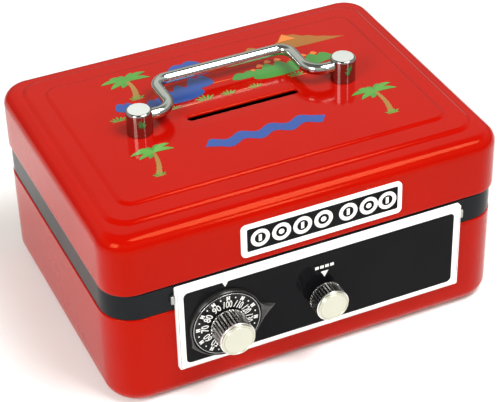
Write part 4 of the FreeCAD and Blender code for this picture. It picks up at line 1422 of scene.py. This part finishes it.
@dataclass
class PrintedScene:
    """Simple beach scene printed on the lid: palms, hills, bushes, tufts and a wavy band.

    The tables give places and sizes in millimetres from the lid's middle. Each shape of one ink
    stands a nudge above the one before it, and each ink a layer above the one before it.
    """

    finishes: Finishes
    deck: float = LID.high[2]
    ink: float = 0.05 * MM
    nudge: float = 0.0006 * MM
    layer: float = 0.012 * MM
    parts: dict = field(default_factory=dict)
    # left foot, peak, right foot and ink
    hills: tuple = (((11.5, 29.5), (19.0, 37.8), (30.0, 29.5), "olive"),
                    ((22.0, 29.5), (36.0, 41.0), (58.0, 29.0), "olive"),
                    ((31.5, 36.0), (35.5, 41.0), (39.5, 36.0), "orange"))
    # left end, right end, foot, height, lobes, ink and lean
    bushes: tuple = ((-45.5, -37.0, 15.5, 8.0, 2, "blue", -2.0), (-34.0, -24.5, 13.0, 7.0, 2, "blue", 0.0),
                     (-26.5, -9.5, 11.0, 13.5, 3, "blue", 1.5), (-14.5, -3.5, 18.0, 10.5, 2, "blue", 0.0),
                     (-17.5, -3.0, 32.5, 6.5, 2, "blue", 1.5), (3.5, 15.0, 16.5, 6.0, 2, "green", 0.0),
                     (11.5, 33.0, 12.5, 12.0, 4, "green", 0.0), (30.0, 47.0, 13.0, 9.0, 3, "green", 2.0))
    berries: tuple = ((13.5, 20.6), (17.2, 23.0), (21.2, 24.4), (25.4, 24.2), (31.5, 22.4),
                      (36.0, 22.6), (40.5, 22.4))
    # left end, right end and height of the thin ground lines
    ground_lines: tuple = ((-12.5, 4.0, 18.9), (1.0, 14.0, 9.6), (-24.0, -13.0, 8.4), (28.0, 39.0, 9.2))
    # place and size
    tufts: tuple = (((-11.5, 9.2), 3.2), ((-1.8, 9.0), 2.6), ((9.6, 9.0), 2.4), ((-24.5, 8.4), 2.0),
                    ((27.5, 9.6), 2.8), ((-47.0, 10.0), 2.6))
    # foot, crown and reach of the leaves
    palms: tuple = (((-35.2, 22.0), (-33.9, 35.6), 10.5), ((-46.9, -29.8), (-43.2, -15.2), 8.8),
                    ((47.8, -30.4), (49.2, -14.6), 9.8))
    # direction in degrees, share of the reach, droop and ink
    fronds: tuple = ((172, 1.0, 1.5, "leaf"), (208, 0.85, 0.8, "leaf"), (140, 0.75, 1.2, "leaf"),
                     (105, 0.62, 0.4, "green"), (62, 0.75, 0.4, "green"), (28, 0.95, 1.4, "leaf"),
                     (-8, 0.9, 1.2, "leaf"), (238, 0.6, 0.2, "green"))
    # lean and length of a tuft's blades, as shares of its size
    blades: tuple = ((-1.5, 0.6), (-0.8, 1.0), (0.0, 1.25), (0.8, 0.95), (1.5, 0.65))
    wave_half: float = 24.5
    wave_y: float = -20.6
    wave_swing: float = 1.3
    wave_count: int = 4
    wave_width: float = 2.7
    layers: tuple = ("olive", "orange", "blue", "green", "bark", "leaf")

    def _ribbon(self, spine: np.ndarray, width: np.ndarray) -> Surface:
        """Thin strip along a spine: the half width at each point is set off square to it.

        Args:
            spine: points in X and Y.
            width: half width at each point.

        Returns:
            The skin.
        """
        tangent = np.gradient(spine, axis=0)
        tangent /= np.linalg.norm(tangent, axis=1, keepdims=True) + 1e-12
        normal = np.column_stack([-tangent[:, 1], tangent[:, 0]])
        left = spine + normal * width[:, None]
        right = spine - normal * width[:, None]
        low, high = self.deck, self.deck + self.ink
        corners = [(left, low), (left, high), (right, high), (right, low)]
        grid = np.stack([np.column_stack([edge, np.full(len(edge), z)]) for edge, z in corners], axis=1)
        return skin_from_grid(grid, first=Cap.FLAT, last=Cap.FLAT)

    def _put(self, ink: str, skin: Surface) -> None:
        """Files a printed shape under its ink, a nudge above the one before it.

        Args:
            ink: name of the ink.
            skin: the shape.
        """
        shapes = self.parts.setdefault(ink, [])
        raised = skin.points + np.array([0.0, 0.0, self.nudge * len(shapes)])
        shapes.append(Surface(raised, skin.faces))

    def _frond(self, root: tuple, tip: tuple, droop: float, width: float, ink: str) -> None:
        """One leaf: a bowed spine with a width that swells and tapers to a point.

        Args:
            root: where it starts.
            tip: where it ends.
            droop: how far its middle bows up.
            width: half width at its widest.
            ink: name of the ink.
        """
        t = np.linspace(0.0, 1.0, 16)
        start = np.array(root)
        span = np.array(tip) - start
        spine = start + span * t[:, None]
        spine[:, 1] += droop * np.sin(math.pi * t)
        taper = np.sin(math.pi * np.clip(t * 0.93 + 0.07, 0, 1)) ** 0.8
        self._put(ink, self._ribbon(spine * MM, width * MM * np.maximum(taper, 0.04)))

    def _tuft(self, place: tuple, size: float) -> None:
        """Grass tuft: a fan of narrow pointed blades on a low mound.

        Args:
            place: middle of its foot.
            size: height of a usual blade.
        """
        x, y = place
        for lean, length in self.blades:
            tip = (x + lean * size * 0.85, y + length * size)
            self._frond((x + lean * size * 0.3, y), tip, 0.12 * size, 0.13 * size, "leaf")
        t = np.linspace(-1.0, 1.0, 12)
        spine = np.column_stack([x + t * size * 1.1, y + 0 * t])
        mound = 0.13 * size * MM * np.sqrt(np.clip(1.02 - t * t, 0.02, 1))
        self._put("bark", self._ribbon(spine * MM, mound))

    def palm(self, foot: tuple, crown: tuple, reach: float) -> None:
        """One palm: a tapered curved trunk, a fan of leaves and a tuft at the foot.

        Args:
            foot: foot of the trunk.
            crown: top of the trunk.
            reach: length of the longest leaf.
        """
        t = np.linspace(0.0, 1.0, 14)
        base, top = np.array(foot), np.array(crown)
        spine = base + (top - base) * t[:, None]
        spine[:, 0] += 0.9 * np.sin(math.pi * t)
        width = reach * (0.125 - 0.055 * t)
        rings = 1 + 0.10 * np.cos(t * math.pi * 13)
        self._put("bark", self._ribbon(spine * MM, width * rings * MM))
        for angle, length, droop, ink in self.fronds:
            turn = math.radians(angle)
            tip = (crown[0] + reach * length * math.cos(turn),
                   crown[1] + reach * 0.75 * length * math.sin(turn))
            self._frond(crown, tip, droop * reach / 10, 0.125 * reach, ink)
        self._tuft((foot[0] + 0.4, foot[1] - 0.6), reach * 0.24)

    def hill(self, left: tuple, peak: tuple, right: tuple, ink: str) -> None:
        """One pointed hill: the band between a straight foot and two slopes that meet at a peak.

        Args:
            left: left end of the foot.
            peak: the top.
            right: right end of the foot.
            ink: name of the ink.
        """
        t = np.linspace(0.0, 1.0, 40)
        x = left[0] + (right[0] - left[0]) * t
        foot_y = left[1] + (right[1] - left[1]) * t
        share = (peak[0] - left[0]) / (right[0] - left[0])
        rise = np.where(t < share, t / share, (1 - t) / (1 - share)) ** 1.15
        top = peak[1] - (left[1] + (right[1] - left[1]) * share)
        jag = 0.05 * top * np.sin(t * 41.0) * rise
        upper = foot_y + top * rise + jag
        self._put(ink, self._band(x, foot_y, np.maximum(upper, foot_y + 0.02)))

    def _band(self, x: np.ndarray, lower: np.ndarray, upper: np.ndarray) -> Surface:
        """Thin plate between two curves over the same X values.

        Args:
            x: the X values.
            lower: lower curve.
            upper: upper curve.

        Returns:
            The skin.
        """
        low, high = self.deck, self.deck + self.ink
        bottom = np.column_stack([x, lower]) * MM
        top = np.column_stack([x, upper]) * MM
        corners = [(top, low), (top, high), (bottom, high), (bottom, low)]
        grid = np.stack([np.column_stack([edge, np.full(len(edge), z)]) for edge, z in corners], axis=1)
        return skin_from_grid(grid, first=Cap.FLAT, last=Cap.FLAT)

    def bush(self, left: float, right: float, foot: float, height: float, lobes: int, ink: str,
             lean: float = 0.0) -> None:
        """Rounded bush: the band over a foot line, its half-round top broken into lobes.

        Args:
            left: left end.
            right: right end.
            foot: height of the left foot.
            height: height of the bush.
            lobes: number of lobes.
            ink: name of the ink.
            lean: how far the right foot stands above the left.
        """
        t = np.linspace(0.0, 1.0, 60)
        x = left + (right - left) * t
        hump = np.sqrt(np.clip(1 - (2 * t - 1) ** 2, 0.0, 1.0))
        bumps = 0.74 + 0.26 * np.abs(np.sin(math.pi * lobes * t))
        lower = foot + lean * t + 0.22 * height * (1 - hump)
        upper = lower + np.maximum(0.9 * height * hump * bumps, 0.03)
        self._put(ink, self._band(x, lower, upper))

    def wave(self) -> None:
        """Blue wavy band: a sine middle line with a height that tapers off at both ends."""
        t = np.linspace(0.0, 1.0, 160)
        x = self.wave_half * (2 * t - 1)
        middle = self.wave_y + self.wave_swing * np.sin(t * 2 * math.pi * self.wave_count)
        half = self.wave_width * np.clip(np.minimum(t, 1 - t) * 16, 0.05, 1.0)
        self._put("blue", self._band(x, middle - half, middle + half))

    def ground(self) -> None:
        """Thin orange ground lines, faintly bowed, with tapered ends."""
        t = np.linspace(0.0, 1.0, 10)
        width = 0.16 * MM * np.sqrt(np.clip(4 * t * (1 - t), 0.05, 1))
        for left, right, y in self.ground_lines:
            spine = np.column_stack([left + (right - left) * t, y + 0.25 * np.sin(math.pi * t)])
            self._put("orange", self._ribbon(spine * MM, width))

    def build(self) -> None:
        """Lays out the whole scene and makes one piece per ink."""
        for hill in self.hills:
            self.hill(*hill)
        for bush in self.bushes:
            self.bush(*bush)
        for x, y in self.berries:
            self.bush(x - 1.5, x + 1.5, y - 1.2, 2.6, 1, "orange")
        self.ground()
        for place, size in self.tufts:
            self._tuft(place, size)
        for palm in self.palms:
            self.palm(*palm)
        self.wave()
        for index, ink in enumerate(self.layers):
            skin = merged(self.parts[ink])
            lifted = skin.points + np.array([0.0, 0.0, index * self.layer])
            make_object(f"print_{ink}", Surface(lifted, skin.faces), getattr(self.finishes, ink + "_ink"),
                        "lid", (), sharp_angle=30.0)


# ------------------------------------------------------------------ kept CAD nodes

@dataclass
class CoilSpring:
    """Compression spring on the button shaft."""

    finishes: Finishes
    x: float = BUTTON.middle[0]
    z: float = BUTTON.middle[2]
    low_y: float = -50.1 * MM
    high_y: float = -44.05 * MM
    coil_r: float = 3.0 * MM
    wire_r: float = 0.5 * MM
    turns: float = 3.4
    stroke: float = 2.6 * MM

    def build(self) -> None:
        """Builds the coil: a helix about Y with closed end turns, and a circle carried along it."""
        t = np.linspace(0.0, 1.0, 160)
        turn = t * self.turns * 2 * math.pi
        eased = np.clip((t - 0.08) / 0.84, 0, 1)
        low, high = self.low_y + self.wire_r, self.high_y - self.wire_r
        y = low + (high - low) * eased
        out = np.column_stack([np.cos(turn), 0 * turn, np.sin(turn)])
        path = out * self.coil_r + np.column_stack([0 * t + self.x, y, 0 * t + self.z])
        skin = tube(path, out, self.wire_r, sides=12)
        spring = make_object("button_spring", skin, self.finishes.spring, "base", ("push_spring",))
        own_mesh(spring)


@dataclass
class KeptNodes:
    """CAD nodes whose shape is right: they only get a finish."""

    finishes: Finishes

    def dress(self) -> None:
        """Gives each kept node its finish."""
        look = self.finishes
        plan = (
            (look.black_band, ("rim_collar",)),
            (look.black_gloss, ("panel_face", "label_face")),
            (look.white, ("label_frame",)),
            (look.clip, ("panel_clips",)),
            (look.spring, ("spindle_clip",)),
            (look.steel, ("dial_spindle", "cam_disc", "push_shaft", "push_collar", "lock_housing",
                          "latch_lever", "hinge_base_leaf", "hinge_lid_leaf", "lid_striker",
                          "handle_washers")),
            (look.rivet, ("lock_rivets", "latch_pin", "hinge_pin", "hinge_base_rivets",
                          "hinge_lid_rivets", "striker_rivets", "handle_screws")),
        )
        for material, node in ((finish, name) for finish, names in plan for name in names):
            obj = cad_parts[node]
            for slot in obj.material_slots:
                slot.material = material
            LOG.info("finish %s on %s", material.name, node)


# ------------------------------------------------------------------ studio

@dataclass(frozen=True)
class SoftBox:
    """One rectangular soft light: its place, the point it faces, its size in metres and its watts."""

    name: str
    place: tuple
    aim: tuple
    size: tuple
    watts: float

    def build(self) -> None:
        """Adds the light."""
        data = bpy.data.lights.new(self.name, "AREA")
        data.shape = "RECTANGLE"
        data.size, data.size_y = self.size
        data.energy = self.watts
        lamp = bpy.data.objects.new(self.name, data)
        lamp.location = self.place
        beam = Vector(self.aim) - Vector(self.place)
        lamp.rotation_euler = beam.to_track_quat("-Z", "Y").to_euler()
        bpy.context.scene.collection.objects.link(lamp)


@dataclass
class Studio:
    """Camera, floor, soft lights and the pale surroundings that the gloss mirrors.

    The camera's angles are degrees. The sky lists (place, level) stops, from the floor at 0 to
    straight up at 1.
    """

    azimuth: float = -23.6
    elevation: float = 35.61
    roll: float = -1.66
    distance: float = 675.1 * MM
    shift: tuple = (-1.62 * MM, 7.11 * MM)
    look_z: float = 40.0 * MM
    sensor: float = 36.0
    lens: float = 123.1272
    floor_half: float = 3.0
    sky: tuple = ((0.0, 0.20), (0.30, 0.46), (0.50, 0.98), (0.66, 0.86), (0.82, 0.22), (1.0, 0.18))
    sky_tint: tuple = (1.0, 0.95, 0.84)
    lights: tuple = (
        SoftBox("overhead_box", (0.33, -0.35, 0.97), (0.0, -0.05, 0.07), (0.50, 0.54), 11.4),
        SoftBox("left_box", (-0.68, -0.40, 0.55), (0.0, 0.0, 0.04), (0.36, 0.40), 6.6),
        SoftBox("front_window", (0.30, -0.80, 0.55), (0.0, 0.0, 0.04), (0.10, 0.22), 0.9),
    )

    def build_camera(self) -> None:
        """Sets the camera on a sphere about the object's middle, rolled and moved across its view."""
        az, el, roll = (math.radians(v) for v in (self.azimuth, self.elevation, self.roll))
        back = Vector((math.sin(az) * math.cos(el), -math.cos(az) * math.cos(el), math.sin(el)))
        right = Vector((0, 0, 1)).cross(back).normalized()
        up = back.cross(right)
        right_rolled = right * math.cos(roll) + up * math.sin(roll)
        up_rolled = up * math.cos(roll) - right * math.sin(roll)
        place = Vector((0, 0, self.look_z)) + back * self.distance
        place -= right_rolled * self.shift[0] + up_rolled * self.shift[1]
        data = bpy.data.cameras.new("camera")
        data.lens = self.lens
        data.sensor_width = self.sensor
        data.clip_start = 0.01
        data.clip_end = 20.0
        camera = bpy.data.objects.new("camera", data)
        turn = Matrix((right_rolled, up_rolled, back)).transposed()
        camera.matrix_world = Matrix.Translation(place) @ turn.to_4x4()
        bpy.context.scene.collection.objects.link(camera)
        bpy.context.scene.camera = camera

    def build_floor(self) -> None:
        """Pale floor with faint mottling, far larger than the object."""
        half = self.floor_half
        corners = [(-half, -half, 0), (half, -half, 0), (half, half, 0), (-half, half, 0)]
        mesh = bpy.data.meshes.new("floor")
        mesh.from_pydata(corners, [], [(0, 1, 2, 3)])
        obj = bpy.data.objects.new("floor", mesh)
        bpy.context.scene.collection.objects.link(obj)
        finish = CoatedFinish("pale_floor", rgb(0.86, 0.86, 0.86), rgb(0.84, 0.84, 0.84), roughness=0.7,
                              specular=0.2, bump_depth=0.02)
        mesh.materials.append(finish.build())

    def build_sky(self) -> None:
        """Surroundings: a grey ramp on the height of each direction, bright at the horizon."""
        world = bpy.data.worlds.new("studio")
        bpy.context.scene.world = world
        world.use_nodes = True
        kit = NodeKit(world.node_tree)
        direction = kit.add("TexCoord").outputs["Generated"]
        height = kit.add("SeparateXYZ", Vector=direction).outputs["Z"]
        ramp = kit.add("ValToRGB")
        kit.feed(ramp.inputs["Fac"], height)
        stops = ramp.color_ramp.elements
        while len(stops) < len(self.sky):
            stops.new(0.5)
        for stop, (place, level) in zip(stops, self.sky):
            stop.position = place
            stop.color = rgb(*(level * share for share in self.sky_tint))
        kit.feed(world.node_tree.nodes["Background"].inputs["Color"], ramp.outputs["Color"])

    def build(self) -> None:
        """Builds camera, floor, surroundings and lights."""
        self.build_camera()
        self.build_floor()
        self.build_sky()
        for light in self.lights:
            light.build()
        bpy.context.scene.view_settings.view_transform = "Standard"


def main() -> None:
    """Builds every sub-assembly in order, then the studio."""
    logging.basicConfig(level=logging.INFO, format="%(name)s: %(message)s")
    finishes = Finishes()
    outline = BoxOutline()
    assemblies = (PressedBase(outline, finishes), PressedLid(outline, finishes), WireHandle(finishes),
                  DialGroup(finishes), LockPanel(finishes), LabelPlate(finishes),
                  PrintedScene(finishes), CoilSpring(finishes))
    for assembly in assemblies:
        assembly.build()
        LOG.info("built %s", type(assembly).__name__)
    KeptNodes(finishes).dress()
    Studio().build()
    bpy.context.view_layer.update()


if __name__ == "__main__":
    main()
